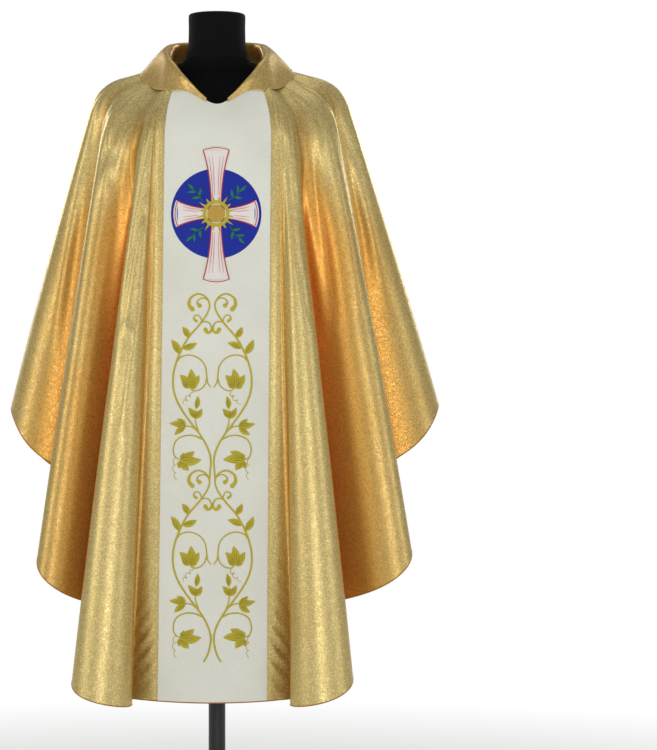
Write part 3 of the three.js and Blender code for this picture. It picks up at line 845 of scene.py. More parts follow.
@dataclass(frozen=True)
class Lame:
    """Woven gold lame: metal yarn over an orange silk ground, with a fine glitter.

    The yarn gives the pale satin light on the folds' crests. The flanks and insides of the folds get
    painted shade from the cloth's fold shade values: a deeper gold on the flanks and the silk ground's own
    orange deep in them, for shade and light bounced between the gold. Single flecks of foil catch the
    light, fewer where the shade is painted.
    """

    name: str = "lame"
    yarn: str = "#D0BA79"
    flank: str = "#C5994A"
    ground: str = "#EAA84C"
    fleck: str = "#FFF0B8"
    fleck_size: float = 1.7 * MM
    roughness: float = 0.4

    def build(self) -> bpy.types.Material:
        """The material, on object coordinates and the cloth's painted shade values."""
        material, tree, shader = new_material(self.name, Metallic=0.68)
        place = add(tree, "TexCoord").outputs["Object"]
        fold_shade = add(tree, "Attribute", attribute_name="fold_shade").outputs["Fac"]
        slow = noise(tree, place, 5.0, 3.0)
        # Painted shade: the fold shade values, varied by a slow noise, turn the yarn's colour to the flank
        # gold and, deeper in, to the orange ground
        shade = maths(tree, "ADD", fold_shade, ranged(tree, slow, 0.3, 0.7, -0.07, 0.07))
        shade_share = ranged(tree, shade, 0.02, 0.42, 0, 1)
        colour = mixed(tree, shade_share, linear(self.yarn), linear(self.flank))
        deep = ranged(tree, shade, 0.36, 0.78, 0, 1)
        colour = mixed(tree, deep, colour, linear(self.ground))
        cells = add(tree, "TexVoronoi", {"Vector": place, "Scale": 1 / self.fleck_size})
        fleck = add(tree, "SeparateColor", {"Color": cells.outputs["Color"]})
        tone = ranged(tree, fleck.outputs[0], 0, 1, 0.76, 1.2)
        grey = add(tree, "CombineColor", {0: tone, 1: tone, 2: tone}).outputs[0]
        colour = mixed(tree, 1.0, colour, grey, "MULTIPLY")
        spark = ranged(tree, fleck.outputs[1], 0.88, 0.95, 0, 0.55)
        # The foil flecks fade out where the shade is painted
        spark = maths(tree, "MULTIPLY", spark, ranged(tree, shade_share, 0, 1, 1, 0.1))
        colour = mixed(tree, spark, colour, linear(self.fleck))
        tree.links.new(colour, shader.inputs["Base Color"])
        rough = ranged(tree, fleck.outputs[2], 0, 1, self.roughness - 0.08, self.roughness + 0.1)
        tree.links.new(rough, shader.inputs["Roughness"])
        fine = noise(tree, place, 420.0, 2.0)
        bump(tree, shader, maths(tree, "ADD", fleck.outputs[0], fine), 0.1, 0.4 * MM)
        return material


@dataclass(frozen=True)
class PlainWeave:
    """Fine plain-woven cloth: over-and-under threads that break the light into a matt grain."""

    name: str
    colour: str
    shade: str
    thread: float = 0.9 * MM
    roughness: float = 0.78
    sheen: float = 0.15

    def build(self) -> bpy.types.Material:
        """The material, its threads along the cloth's own coordinates."""
        material, tree, shader = new_material(
            self.name, Roughness=self.roughness, Sheen_Weight=self.sheen, Sheen_Roughness=0.5
        )
        uv = add(tree, "UVMap", uv_map="Cloth").outputs["UV"]
        scale = math.tau / self.thread
        parts = add(tree, "SeparateXYZ", {"Vector": uv})
        waves = [
            maths(tree, "SINE", maths(tree, "MULTIPLY", parts.outputs[k], scale)) for k in (0, 1)
        ]
        weave = maths(tree, "MULTIPLY", *waves)
        place = add(tree, "TexCoord").outputs["Object"]
        slub = noise(tree, place, 420.0, 3.0)
        cloud = ranged(tree, noise(tree, place, 9.0, 4.0), 0.35, 0.7, 0, 0.5)
        colour = mixed(tree, cloud, linear(self.colour), linear(self.shade))
        colour = mixed(tree, ranged(tree, slub, 0.4, 0.75, 0, 0.45), colour, linear(self.shade))
        tree.links.new(colour, shader.inputs["Base Color"])
        bump(tree, shader, maths(tree, "ADD", weave, slub), 0.3, 0.25 * MM)
        return material


@dataclass(frozen=True)
class SatinStitch:
    """Rayon satin stitch: close parallel threads across each shape, glossy along their tops."""

    name: str
    colour: str
    shade: str
    thread: float = 0.55 * MM
    roughness: float = 0.36

    def build(self) -> bpy.types.Material:
        """The material, its threads across each shape's own length."""
        material, tree, shader = new_material(
            self.name, Roughness=self.roughness, Specular_IOR_Level=0.3
        )
        uv = add(tree, "UVMap", uv_map="Cloth").outputs["UV"]
        along = add(tree, "SeparateXYZ", {"Vector": uv}).outputs[0]
        ridges = maths(tree, "SINE", maths(tree, "MULTIPLY", along, math.tau / self.thread))
        place = add(tree, "TexCoord").outputs["Object"]
        fibre = noise(tree, place, 380.0, 2.0)
        # Painted shade: the grooves between the threads take the darker shade colour, unevenly by a fibre
        # noise
        share = maths(tree, "MULTIPLY", ranged(tree, ridges, -1, 1, 0.35, 0), fibre)
        colour = mixed(tree, share, linear(self.colour), linear(self.shade))
        tree.links.new(colour, shader.inputs["Base Color"])
        bump(tree, shader, ridges, 0.35, 0.2 * MM)
        return material


@dataclass(frozen=True)
class Jersey:
    """Black cotton jersey: fine knitted ribs that drink the light, with a soft bloom at the edges."""

    name: str = "jersey"
    colour: str = "#060607"
    worn: str = "#101012"

    def build(self) -> bpy.types.Material:
        """The material, on object coordinates: 1.1 mm ribs round the form and a loose fuzz."""
        material, tree, shader = new_material(
            self.name, Roughness=0.9, Sheen_Weight=0.02, Sheen_Roughness=0.6, Specular_IOR_Level=0.12
        )
        place = add(tree, "TexCoord").outputs["Object"]
        fuzz = noise(tree, place, 300.0, 4.0)
        worn = ranged(tree, fuzz, 0.35, 0.8, 0, 1)
        colour = mixed(tree, worn, linear(self.colour), linear(self.worn))
        tree.links.new(colour, shader.inputs["Base Color"])
        height = add(tree, "SeparateXYZ", {"Vector": place}).outputs[2]
        ribs = maths(tree, "SINE", maths(tree, "MULTIPLY", height, math.tau / (1.1 * MM)))
        bump(tree, shader, maths(tree, "ADD", ribs, fuzz), 0.25, 0.3 * MM)
        return material


@dataclass(frozen=True)
class PowderCoat:
    """Black powder coat on steel: an even satin with the fine orange peel of baked powder."""

    name: str = "powder_coat"
    colour: str = "#151517"

    def build(self) -> bpy.types.Material:
        """The material, on object coordinates: 1.5 mm orange peel and slightly uneven gloss."""
        material, tree, shader = new_material(self.name, Coat_Weight=0.15, Coat_Roughness=0.3)
        place = add(tree, "TexCoord").outputs["Object"]
        peel, wear = noise(tree, place, 650.0, 2.0), noise(tree, place, 14.0, 4.0)
        shader.inputs["Base Color"].default_value = linear(self.colour)
        tree.links.new(ranged(tree, wear, 0.3, 0.7, 0.34, 0.48), shader.inputs["Roughness"])
        bump(tree, shader, peel, 0.2, 0.2 * MM)
        return material


@dataclass(frozen=True)
class Finishes:
    """Every material of the scene, built once."""

    lame: bpy.types.Material
    cream: bpy.types.Material
    hem: bpy.types.Material
    jersey: bpy.types.Material
    steel: bpy.types.Material
    threads: dict[str, bpy.types.Material]

    @classmethod
    def build(cls) -> "Finishes":
        """All finishes."""
        threads = {
            "olive": ("#C4B42E", "#978A22"),
            "vein": ("#7E7218", "#5E540F"),
            "gold": ("#C9A347", "#8F6A22"),
            "blue": ("#0624A0", "#041878"),
            "white": ("#F1EAE6", "#D9C9C6"),
            "pink": ("#DB8A8A", "#B96868"),
            "red": ("#C23A2C", "#8C2820"),
            "green": ("#1F7A55", "#14553B"),
        }
        return cls(
            lame=Lame().build(),
            cream=PlainWeave("cream_cloth", "#EBECE1", "#DADACC").build(),
            hem=SatinStitch("hem_edge", "#B07A2A", "#7E4F16", thread=1.4 * MM, roughness=0.5).build(),
            jersey=Jersey().build(),
            steel=PowderCoat().build(),
            threads={k: SatinStitch("thread_" + k, *v).build() for k, v in threads.items()},
        )


def finish(piece: bpy.types.Object, material: bpy.types.Material, slot: Slot) -> bpy.types.Object:
    """Give a piece its material, and let it ride on the part."""
    piece.data.materials.append(material)
    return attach(piece, "root")


# ---------------------------------------------------------------- sewn pieces


@dataclass(frozen=True)
class Cut:
    """A piece of cloth as it was cut: its node, lines, flat size and area in metres."""

    node: str
    start: int
    end: int
    flat: tuple[float, float]
    area: float
    slot: Slot


CUTS = (
    Cut("front_panel", -EDGE_LINE, EDGE_LINE, (0.21, 1.15), 0.231, Slot.CREAM),
    Cut("back_panel", BACK_AT - EDGE_LINE, BACK_AT + EDGE_LINE, (0.21, 1.2), 0.246, Slot.CREAM),
    Cut("front_left", EDGE_LINE, SEAM_AT, (0.78, 1.22), 0.617, Slot.LAME),
    Cut("back_left", SEAM_AT, BACK_AT - EDGE_LINE, (0.78, 1.22), 0.589, Slot.LAME),
    Cut("back_right", BACK_AT + EDGE_LINE, LINES - SEAM_AT, (0.78, 1.22), 0.566, Slot.LAME),
    Cut("front_right", LINES - SEAM_AT, LINES - EDGE_LINE, (0.78, 1.22), 0.598, Slot.LAME),
)


@dataclass
class Cloth:
    """The six cut pieces, with their turned hems."""

    grid: ClothGrid
    looks: Finishes
    pieces: dict[str, bpy.types.Object] = field(default_factory=dict)
    sewn_on: dict[str, list[bpy.types.Object]] = field(default_factory=dict)

    def build(self) -> None:
        """Make every cut piece and its hem edge."""
        for cut in CUTS:
            self._piece(cut)
            self.sewn_on[cut.node] = [self._hem(cut)]

    def _drawn_in(self, columns: Array) -> Array:
        """The middle surface of some columns, its end columns drawn in by half the seam gap."""
        middle = self.grid.points[columns].copy()
        middle[0] += unit(middle[1] - middle[0]) * SEAM_GAP / 2
        middle[-1] += unit(middle[-2] - middle[-1]) * SEAM_GAP / 2
        return middle

    def _piece(self, cut: Cut) -> None:
        """One cut piece as a closed wall, with its grain in metres and its painted shade values."""
        columns = self.grid.columns(cut.start, cut.end)
        middle = self._drawn_in(columns)
        points, quads = wall_arrays(middle, self.grid.normals[columns], WALL)
        across = run_along(middle)
        across -= across[len(across) // 2]
        grain = np.stack([across, self.grid.run[columns]], -1).reshape(-1, 2)
        fold_shade = self.grid.fold_shade[columns].ravel()
        piece = make_mesh(cut.node + "_cloth", points, quads, np.tile(grain, (2, 1)),
                          {"fold_shade": np.tile(fold_shade, 2)})
        look = self.looks.lame if cut.slot is Slot.LAME else self.looks.cream
        finish(piece, look, cut.slot)
        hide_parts(cut.node)
        self.pieces[cut.node] = piece

    def _hem(self, cut: Cut) -> bpy.types.Object:
        """The turned edge along a piece's hem, a thin roll of the orange ground."""
        columns = self.grid.columns(cut.start, cut.end)
        middle = self._drawn_in(columns)
        path, above = middle[:, -1], middle[:, -2]
        below = path + unit(path - above) * 0.2 * MM
        points, quads = tube_arrays(below, HEM_EDGE, self.grid.normals[columns, -1])
        roll = make_mesh(cut.node + "_hem", points, quads, tube_uv(path))
        return finish(roll, self.looks.hem, cut.slot)

    def declare(self) -> None:
        """Go over what is sewn on each piece, once all of it exists; nothing is kept or said."""
        for cut in CUTS:
            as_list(self.sewn_on[cut.node])


def stitches(points: Array, normals: Array, along: Array) -> tuple[Array, Array]:
    """Short rounded threads lying along a seam, one at each point."""
    swell = np.array([0.35, 0.85, 1, 0.85, 0.35])
    share = np.linspace(-1, 1, len(swell))
    angle = np.linspace(0, 2 * np.pi, 7)
    side = np.cross(normals, along)
    ring = (side[:, None, None] * np.cos(angle)[None, None, :, None]
            + normals[:, None, None] * np.sin(angle)[None, None, :, None])
    middle = points[:, None] + along[:, None] * (share * STITCH_LENGTH / 2)[None, :, None]
    made = middle[:, :, None] + ring * (STITCH_RADIUS * swell)[None, :, None, None]
    quads = grid_quads(len(share), len(angle))[:, ::-1]
    offsets = np.arange(len(points)) * len(share) * len(angle)
    return made.reshape(-1, 3), (quads[None] + offsets[:, None, None]).reshape(-1, 4)


def stitched(grid_points: Array, grid_normals: Array, lift: float) -> tuple[Array, Array]:
    """Stitches at even spacing along a line of points, lifted on to the cloth's face."""
    run = run_along(grid_points)
    at = np.arange(STITCH_PITCH, run[-1] - STITCH_PITCH / 2, STITCH_PITCH)
    points = np.stack([np.interp(at, run, grid_points[:, k]) for k in range(3)], -1)
    normals = unit(np.stack([np.interp(at, run, grid_normals[:, k]) for k in range(3)], -1))
    along = unit(np.gradient(points, axis=0))
    return stitches(points + normals * lift, normals, along)


@dataclass
class SeamStitching:
    """Gold machine stitches on the strips, beside both panels."""

    grid: ClothGrid
    looks: Finishes

    def build(self, sewn_on: dict[str, list[bpy.types.Object]]) -> None:
        """One run of stitches on each side piece, 2 mm from the panel's seam."""
        sides = (("front_left", EDGE_LINE, 1), ("front_right", LINES - EDGE_LINE, -1),
                 ("back_left", BACK_AT - EDGE_LINE, -1), ("back_right", BACK_AT + EDGE_LINE, 1))
        for node, line, step in sides:
            first = self.grid.columns(line, line)[0]
            edge, inner = self.grid.points[first], self.grid.points[first + 3 * step]
            path = edge + unit(inner - edge) * STITCH_INSET
            under = self.grid.run[first] > 0.05
            points, quads = stitched(path[under], self.grid.normals[first][under], WALL / 2)
            uv = np.zeros((len(points), 2))
            made = make_mesh(node + "_stitches", points, quads, uv)
            sewn_on[node].append(finish(made, self.looks.threads["gold"], Slot.THREAD))


@dataclass
class Collar:
    """The wide turned-down collar, with its topstitching and edge roll."""

    drape: Drape
    looks: Finishes

    def _surface(self, us: Array, ts: Array) -> Array:
        """The collar's middle, from the seam up the stand, over the roll and down the fall.

        A centripetal curve through four points: the seam, the top of the stand, the roll, and the
        edge, which lies on the cloth as far down its line as the collar falls there.
        """
        table = np.array(COLLAR, float)
        stand, lean, fall = (eased(neck_place(us), table, k) * MM for k in (1, 2, 3))
        zero = np.zeros_like(us)
        outward = self.drape.at(us, zero + 0.6) - self.drape.at(us, zero)
        outward = unit(self._evened(us, unit(outward * (1, 1, 0))))
        seam = self.drape.at(us, zero) + self.drape.normal(us, zero + 0.02) * COLLAR_LIFT
        top = seam + outward * lean[:, None]
        top[:, 2] += stand
        v = self._place_at(us, fall)
        edge = self.drape.at(us, v) + self.drape.normal(us, v) * COLLAR_LIFT
        edge = seam + self._evened(us, edge - seam)
        over = top + outward * np.minimum(11 * MM, 2 * MM + stand * 0.45)[:, None]
        over[:, 2] += 1.5 * MM
        return catmull(np.stack([seam, top, over, edge], 1), ts)

    def _evened(self, us: Array, rows: Array) -> Array:
        """Vectors evened out along the neckline, by a bell that narrows towards the two points."""
        place = np.where(us < LINES / 2, neck_place(us), 12 - neck_place(us))
        width = np.minimum(0.2, 0.2 * np.minimum(place, 12 - place))[:, None]
        weights = np.exp(-(((place[:, None] - place) / width) ** 2)) * np.gradient(place)
        return weights @ rows / weights.sum(1, keepdims=True)

    def _place_at(self, us: Array, length: Array) -> Array:
        """How far down its line, as v, the cloth is when it has run a length from the neck."""
        vs = np.linspace(0, REACH, 61)
        u, v = np.meshgrid(us, vs, indexing="ij")
        run = run_along(self.drape.at(u, v), 1)
        i = np.clip((run < length[:, None]).sum(1) - 1, 0, len(vs) - 2)
        row = np.arange(len(us))
        share = (length - run[row, i]) / (run[row, i + 1] - run[row, i])
        return vs[i] + share * (vs[1] - vs[0])

    def build(self) -> None:
        """The collar's wall, the stitches along its edge and the roll of its edge."""
        us = np.concatenate([[0.4, 0.7], np.linspace(1, LINES - 1, 397), [LINES - 0.7, LINES - 0.4]])
        ts = np.linspace(0, 1, 41)
        middle = self._surface(us, ts)
        normals = unit(np.cross(np.gradient(middle, axis=1), np.gradient(middle, axis=0)))
        points, quads = wall_arrays(middle, normals, COLLAR_WALL)
        run = run_along(middle, 1)
        round_neck = np.broadcast_to(run_along(middle[:, 0])[:, None], run.shape)
        grain = np.stack([round_neck, run], -1).reshape(-1, 2)
        # Painted shade on the collar: some over all its face, most up the stand under the roll
        fold_shade = np.broadcast_to(0.22 + 0.34 * np.exp(-((ts - 0.2) / 0.16) ** 2), run.shape).ravel()
        piece = make_mesh("collar_cloth", points, quads, np.tile(grain, (2, 1)),
                          {"fold_shade": np.tile(fold_shade, 2)})
        finish(piece, self.looks.lame, Slot.LAME)
        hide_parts("collar")
        on_fall = run[:, -1:] - run
        j = np.maximum((on_fall > TOPSTITCH_INSET).sum(1) - 1, 0)
        row = np.arange(len(us))
        wide = run[:, -1] > 14 * MM
        path, face = middle[row, j][wide], normals[row, j][wide]
        points, quads = stitched(path, face, COLLAR_WALL / 2)
        made = make_mesh("collar_stitches", points, quads, np.zeros((len(points), 2)))
        finish(made, self.looks.threads["gold"], Slot.THREAD)
        edge, quads = tube_arrays(middle[:, -1], 1.2 * MM, normals[:, -1])
        roll = make_mesh("collar_edge", edge, quads, tube_uv(middle[:, 0]))
        finish(roll, self.looks.lame, Slot.LAME)


# ---------------------------------------------------------------- embroidery


@dataclass(frozen=True)
class Patch:
    """A stitched shape in the panel's plane: places, heights and thread coordinates on a grid."""

    at: Array
    height: Array
    uv: Array


def strip(path: Array, widths: tuple[float, ...], height: float, count: int = 40,
          vein: float = 0) -> Patch:
    """A domed strip of satin stitch along a path, closed to a point or a bulb by its widths.

    Args:
        path: points in metres. widths: at even steps along the path, in metres.
        height: of the dome, in metres. vein: how deep its middle is drawn in, as a share.
    """
    line = rounded(path, count)
    along = unit(np.gradient(line, axis=0))
    side = np.stack([-along[:, 1], along[:, 0]], -1)
    offsets = np.array([-1, -0.82, -0.42, 0, 0.42, 0.82, 1])
    dome = np.array([-0.2, 0.62, 0.95, 1 - vein, 0.95, 0.62, -0.2])
    width = np.interp(np.linspace(0, 1, count), np.linspace(0, 1, len(widths)), widths)
    at = line[:, None] + side[:, None] * (offsets[None, :, None] * width[:, None, None] / 2)
    run = run_along(line)
    flat = np.minimum(1, 0.35 + width / (2 * MM))[:, None]
    uv = np.stack([run[:, None] + 0 * offsets, offsets * width[:, None] / 2], -1)
    return Patch(at, height * dome[None] * flat, uv)


def bulb(centre: tuple[float, float], radius: float, height: float) -> Patch:
    """A small domed dot that ends a curl."""
    angle = np.linspace(0, 2 * np.pi, 17)[:, None]
    share = np.array([0.02, 0.4, 0.75, 1])
    dome = np.array([1, 0.92, 0.65, -0.2])
    ring = np.stack([np.cos(angle) * share, np.sin(angle) * share], -1) * radius
    return Patch(ring + np.asarray(centre), height * np.repeat(dome[None], 17, 0), ring)


def lobe(base: Array, tip: Array, width: float) -> Patch:
    """A pointed leaf with a sunk vein: widest a little below its middle."""
    share = np.linspace(0, 1, 15)
    widths = width * np.sin(np.pi * share**0.82) ** 0.85
    widths[0], widths[-1] = width * 0.12, 0.1 * MM
    lean = np.array([tip[1] - base[1], base[0] - tip[0]]) * 0.06
    path = np.stack([base, (base + tip) / 2 + lean, tip])
    return strip(path, tuple(widths), 1.15 * MM, count=18, vein=0.4)


@dataclass
class Embroidery:
    """Stitched shapes laid on a panel."""

    grid: ClothGrid
    looks: Finishes
    back: bool

    def lay(self, name: str, patches: list[Patch], thread: str,
            lift: float = 0) -> bpy.types.Object:
        """One piece of embroidery from its patches, each bent to the panel's face.

        Args:
            thread: the thread's colour by name. lift: how much further out it lies, in metres.
        """
        at = np.concatenate([p.at.reshape(-1, 2) for p in patches])
        height = np.concatenate([p.height.ravel() for p in patches])
        points, normals = self.grid.place(at[:, 0], at[:, 1], self.back)
        points = points + normals * (WALL / 2 + lift + height)[:, None]
        quads, start = [], 0
        for patch in patches:
            rows, columns = patch.height.shape
            quads.append(grid_quads(rows, columns, start))
            start += rows * columns
        quads = np.concatenate(quads)
        a, b, d = (points[quads[:, k]] for k in (0, 1, 3))
        inward = np.sum(np.cross(b - a, d - a) * normals[quads[:, 0]], -1) < 0
        quads[inward] = quads[inward, ::-1]
        uv = np.concatenate([p.uv.reshape(-1, 2) for p in patches])
        made = make_mesh(name, points, quads, uv, sharp=80)
        return finish(made, self.looks.threads[thread], Slot.THREAD)


def vine_patches(vine: VineRun, number: int) -> tuple[list[Patch], list[Patch]]:
    """One repeat of a vine, both halves, and the dark stitched veins of its leaves.

    Args:
        vine: the whole vine. number: which repeat, from the top.
    """
    patches, veins = [], []
    head, low = vine.head - number * vine.repeat, vine.low
    tail = VINE_END if number == vine.count - 1 else VINE_ONWARD
    for side in (-1, 1):
        for k, (path, widths) in enumerate(VINE_STEMS):
            line = vine.placed(path if k else (*path, *tail), side, head)
            whole = len(line)
            line = line[line[:, 1] > low] if line[:, 1].min() < low else line
            if len(line) < 3:
                continue
            count = max(24, 7 * len(line))
            kept = np.interp(np.linspace(0, len(line) / whole, len(widths)),
                             np.linspace(0, 1, len(widths)), widths)
            patches.append(strip(line, tuple(kept * VINE_UNIT), 1.1 * MM, count))
            if widths[0] > 2.5:
                patches.append(bulb(line[0], widths[0] * VINE_UNIT / 2, 1.3 * MM))
        for base, tip, width in VINE_LOBES:
            ends = vine.placed((base, tip), side, head)
            if ends[:, 1].min() > low:
                patches.append(lobe(ends[0], ends[1], width * VINE_UNIT))
                veins += lobe_veins(ends[0], ends[1], width * VINE_UNIT)
        for start, end, loops, size in VINE_TENDRILS:
            ends = vine.placed((start, end), side, head)
            if ends[:, 1].min() > low:
                patches.append(tendril(ends[0], ends[1], loops, size * VINE_UNIT))
    return patches, veins


def lobe_veins(base: Array, tip: Array, width: float) -> list[Patch]:
    """The dark stitched veins of a leaf's lobe: one down its middle and one on each side."""
    run = tip - base
    middle = base + run * np.array([[0.1], [0.5], [0.86]])
    veins = [strip(middle, (1.3 * MM, 1.1 * MM, 0.4 * MM), 0.7 * MM, 12)]
    aside = np.array([-run[1], run[0]]) * (0.24 * width / np.linalg.norm(run))
    for pull in (-1, 1):
        line = base + run * np.array([[0.24], [0.45], [0.68]])
        line = line + aside * pull * np.array([[0.7], [1], [0.75]])
        veins.append(strip(line, (0.5 * MM, 0.9 * MM, 0.4 * MM), 0.8 * MM, 8))
    return veins


def tendril(start: Array, end: Array, loops: int, size: float) -> Patch:
    """A coiled tendril: a thread that loops as it runs from start to end."""
    t = np.linspace(0, 1, 60)[:, None]
    turn = 2 * np.pi * loops * t
    swell = size * np.sin(np.pi * np.clip(t, 0, 1)) ** 0.6
    path = start + (end - start) * t + np.concatenate([np.cos(turn) - 1, np.sin(turn)], 1) * swell
    return strip(path, (1.5 * MM, 1.3 * MM, 1 * MM), 0.8 * MM, count=120)


@dataclass
class Roundel:
    """A blue disc under a tall flared cross, with a sun at the crossing and leaf sprigs."""

    embroidery: Embroidery

    def _around(self, points: list[tuple[float, float]], bearing: float) -> Array:
        """Points given as (right, up) in millimetres of an upright arm, turned to its bearing."""
        a = math.radians(bearing)
        right, up = np.asarray(points, float).T
        x = right * math.cos(a) + up * math.sin(a)
        z = up * math.cos(a) - right * math.sin(a)
        return (np.stack([x, z], -1) + ROUNDEL_AT) * MM

    def _ring(self, outer: float, inner: float, height: float, edge: float = 0.6) -> Patch:
        """A flat stitched ring or disc, with rounded edges, in millimetres."""
        angle = np.linspace(0, 2 * np.pi, 121)[:, None]
        flat = np.linspace(inner + 1, outer - 1, 12)
        radius = np.array([inner, inner + edge, *flat, outer - edge, outer])
        dome = np.array([0.9 if inner < 1 else -0.2, 1, *np.ones(12), 0.85, -0.2])
        at = np.stack([np.sin(angle) * radius, np.cos(angle) * radius], -1)
        thread = np.stack([at[..., 1], at[..., 0]], -1) * MM
        return Patch((at + ROUNDEL_AT) * MM, height * MM * np.repeat(dome[None], 121, 0), thread)

    def build(self) -> list[bpy.types.Object]:
        """The disc, the cross with its outlines and inner lines, the sun and the sprigs."""
        lay = self.embroidery.lay
        made = [lay("roundel_disc", [self._ring(DISC_RADIUS, 0.05, 0.5)], "blue")]
        arms, outlines, inner = [], [], []
        for bearing, length in CROSS_ARMS:
            share = np.linspace(0, 1, 21)
            half = 9 + 15 * share**2.2
            ys = 6 + (length - 6) * share
            path = self._around([(0, y) for y in ys], bearing)
            arms.append(strip(path, tuple(2 * half * MM), 0.9 * MM, 60))
            right = list(zip(half, ys))
            end = np.linspace(half[-1], -half[-1], 9)
            foot = [(x, length + 5 * (1 - (x / half[-1]) ** 2)) for x in end]
            inset = [p for p in right if p[1] > 13]
            for run in (inset, foot, [(-x, y) for x, y in inset]):
                outlines.append(strip(self._around(run, bearing), (1.9 * MM,) * 2, 1.2 * MM, 50))
            for pull in (0.34, 0.66):
                for sign in (-1, 1):
                    lines = [(sign * pull * x, y) for x, y in right if 30 < y < length - 7]
                    path = self._around(lines, bearing)
                    inner.append(strip(path, (0.9 * MM, 1.6 * MM, 0.7 * MM), 0.9 * MM, 40))
            arms.append(strip(self._around(foot, bearing), (7 * MM,) * 2, 0.8 * MM, 30))
        made.append(lay("roundel_cross", arms, "white", 0.35 * MM))
        made.append(lay("roundel_outline", outlines, "red", 0.7 * MM))
        made.append(lay("roundel_lines", inner, "pink", 0.9 * MM))
        rays = []
        for k in range(SUN_RAYS):
            ends = [(0, SUN_RADIUS + out) for out in (-3, 4, 13 if k % 2 else 8)]
            path = self._around(ends, 360 / SUN_RAYS * (k + 0.5))
            rays.append(strip(path, (4.6 * MM, 3.6 * MM, 0.3 * MM), 1 * MM, 14))
        sun = [self._ring(SUN_RADIUS, SUN_RADIUS - 7, 1.2), *rays]
        made.append(lay("roundel_sun", sun, "olive", 0.9 * MM))
        made.append(lay("roundel_heart", [self._ring(SUN_RADIUS - 8, 0.05, 1.0)], "gold", 0.9 * MM))
        sprigs = []
        for bearing in (45, 135, 225, 315):
            stem = self._around([(-2, 34), (3, 50), (0, 66)], bearing)
            sprigs.append(strip(stem, (1.6 * MM, 1.2 * MM), 1 * MM, 24))
            for base, tip, width in SPRIG_LEAVES:
                ends = self._around([base, tip], bearing)
                sprigs.append(lobe(ends[0], ends[1], width * MM))
        made.append(lay("roundel_sprigs", sprigs, "green", 0.5 * MM))
        return made


# ---------------------------------------------------------------- dress form and stand


@dataclass
class DressForm:
    """The limbless torso in black jersey with its neck cap, on a pole and round base."""

    looks: Finishes

    def build(self) -> None:
        """Torso, seams, neck cap, pole and base."""
        self._torso()
        self._neck()
        self._stand()

    def _torso_at(self, angle: Array, z: Array) -> Array:
        """Points of the torso's cover: superellipses through the table's sections."""
        table = np.array(TORSO, float) * MM
        half, front, back = (eased(z, table, k) - TORSO_SHRINK for k in (1, 2, 3))
        c, s = (np.sign(a) * np.abs(a) ** (2 / TORSO_POWER) for a in (np.cos(angle), np.sin(angle)))
        depth = np.where(s < 0, front, back)
        return np.stack([half * c, depth * s, z + 0 * angle], -1)

    def _torso(self) -> None:
        """The cover with a flat bottom board, and the raised seams down its front, back and sides."""
        low, high = TORSO[0][0] * MM, TORSO[-1][0] * MM
        z = np.concatenate([np.linspace(low, low + 0.01, 6), np.linspace(low + 0.015, high, 110)])
        angle = np.linspace(0, 2 * np.pi, 129)
        a, h = np.meshgrid(angle, z, indexing="ij")
        skin = self._torso_at(a, h)
        shares = np.linspace(0, 1, 8)[None, :, None]
        bottom = (0, 0, low) * (1 - shares) + skin[:, :1] * shares
        top = skin[:, -1:] * (1 - shares) + (0, 0, high) * shares
        points = np.concatenate([bottom[:, :-1], skin, top[:, 1:]], axis=1)
        quads = grid_quads(points.shape[0], points.shape[1])[:, ::-1]
        piece = make_mesh("torso_cover", points.reshape(-1, 3), quads)
        finish(piece, self.looks.jersey, Slot.JERSEY)
        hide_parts("form_torso")
        seams = []
        heights = np.linspace(low + 0.004, high - 0.004, 60)
        for turn in (0, 0.25, 0.5, 0.75):
            line = self._torso_at(np.full(60, 2 * np.pi * turn), heights)
            seams.append(tube_arrays(line, 0.9 * MM, unit(line * (1, 1, 0))))
        points, quads = joined(seams)
        finish(make_mesh("torso_seams", points, quads), self.looks.jersey, Slot.JERSEY)

    def _neck(self) -> None:
        """The neck cap: a slim waist, a rounded top with its sewn disc, and a piped edge."""
        foot = TORSO[-1][0] * MM + 0.3 * MM
        outline = (
            (0, foot), (0.0575, foot), (0.058, foot + 0.001), (0.0567, foot + 0.006), (0.056, foot + 0.012),
            (0.0549, foot + 0.022), (0.0542, foot + 0.034), (0.0538, foot + 0.05), (0.0537, foot + 0.062),
            (0.054, foot + 0.074), (0.054, NECK_TOP - 0.0062), (0.0537, NECK_TOP - 0.0038),
            (0.0527, NECK_TOP - 0.0018), (0.0508, NECK_TOP - 0.0006), (0.0485, NECK_TOP),
            (0.0462, NECK_TOP - 0.0002), (0.0455, NECK_TOP - 0.0007), (0.0448, NECK_TOP - 0.0002),
            (0.03, NECK_TOP), (0, NECK_TOP),
        )
        piece = turned("neck_cap", outline)
        finish(piece, self.looks.jersey, Slot.JERSEY)
        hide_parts("form_neck")

    def _stand(self) -> None:
        """The pole and the turned base, with a soft edge and a shallow step round the pole."""
        low, high = BASE_HEIGHT + 0.3 * MM, TORSO[0][0] * MM - 0.3 * MM
        r = POLE_RADIUS
        outline = ((0, low), (r - 0.001, low), (r, low + 0.001), (r, 0.56), (r - 0.0008, 0.561),
                   (r - 0.0008, 0.563), (r, 0.564), (r, high - 0.001), (r - 0.001, high), (0, high))
        pole = turned("pole", outline, 64)
        finish(pole, self.looks.steel, Slot.STEEL)
        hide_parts("stand_pole")
        w, h = BASE_RADIUS, BASE_HEIGHT
        outline = ((0, 0), (w - 0.002, 0), (w, 0.002), (w, h - 0.006), (w - 0.0006, h - 0.0035),
                   (w - 0.0022, h - 0.0014), (w - 0.005, h - 0.0003), (w - 0.012, h - 0.0003),
                   (0.05, h - 0.0003), (0.047, h), (0, h))
        base = turned("base", outline, 128)
        finish(base, self.looks.steel, Slot.STEEL)
        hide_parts("stand_base")


# ---------------------------------------------------------------- stage


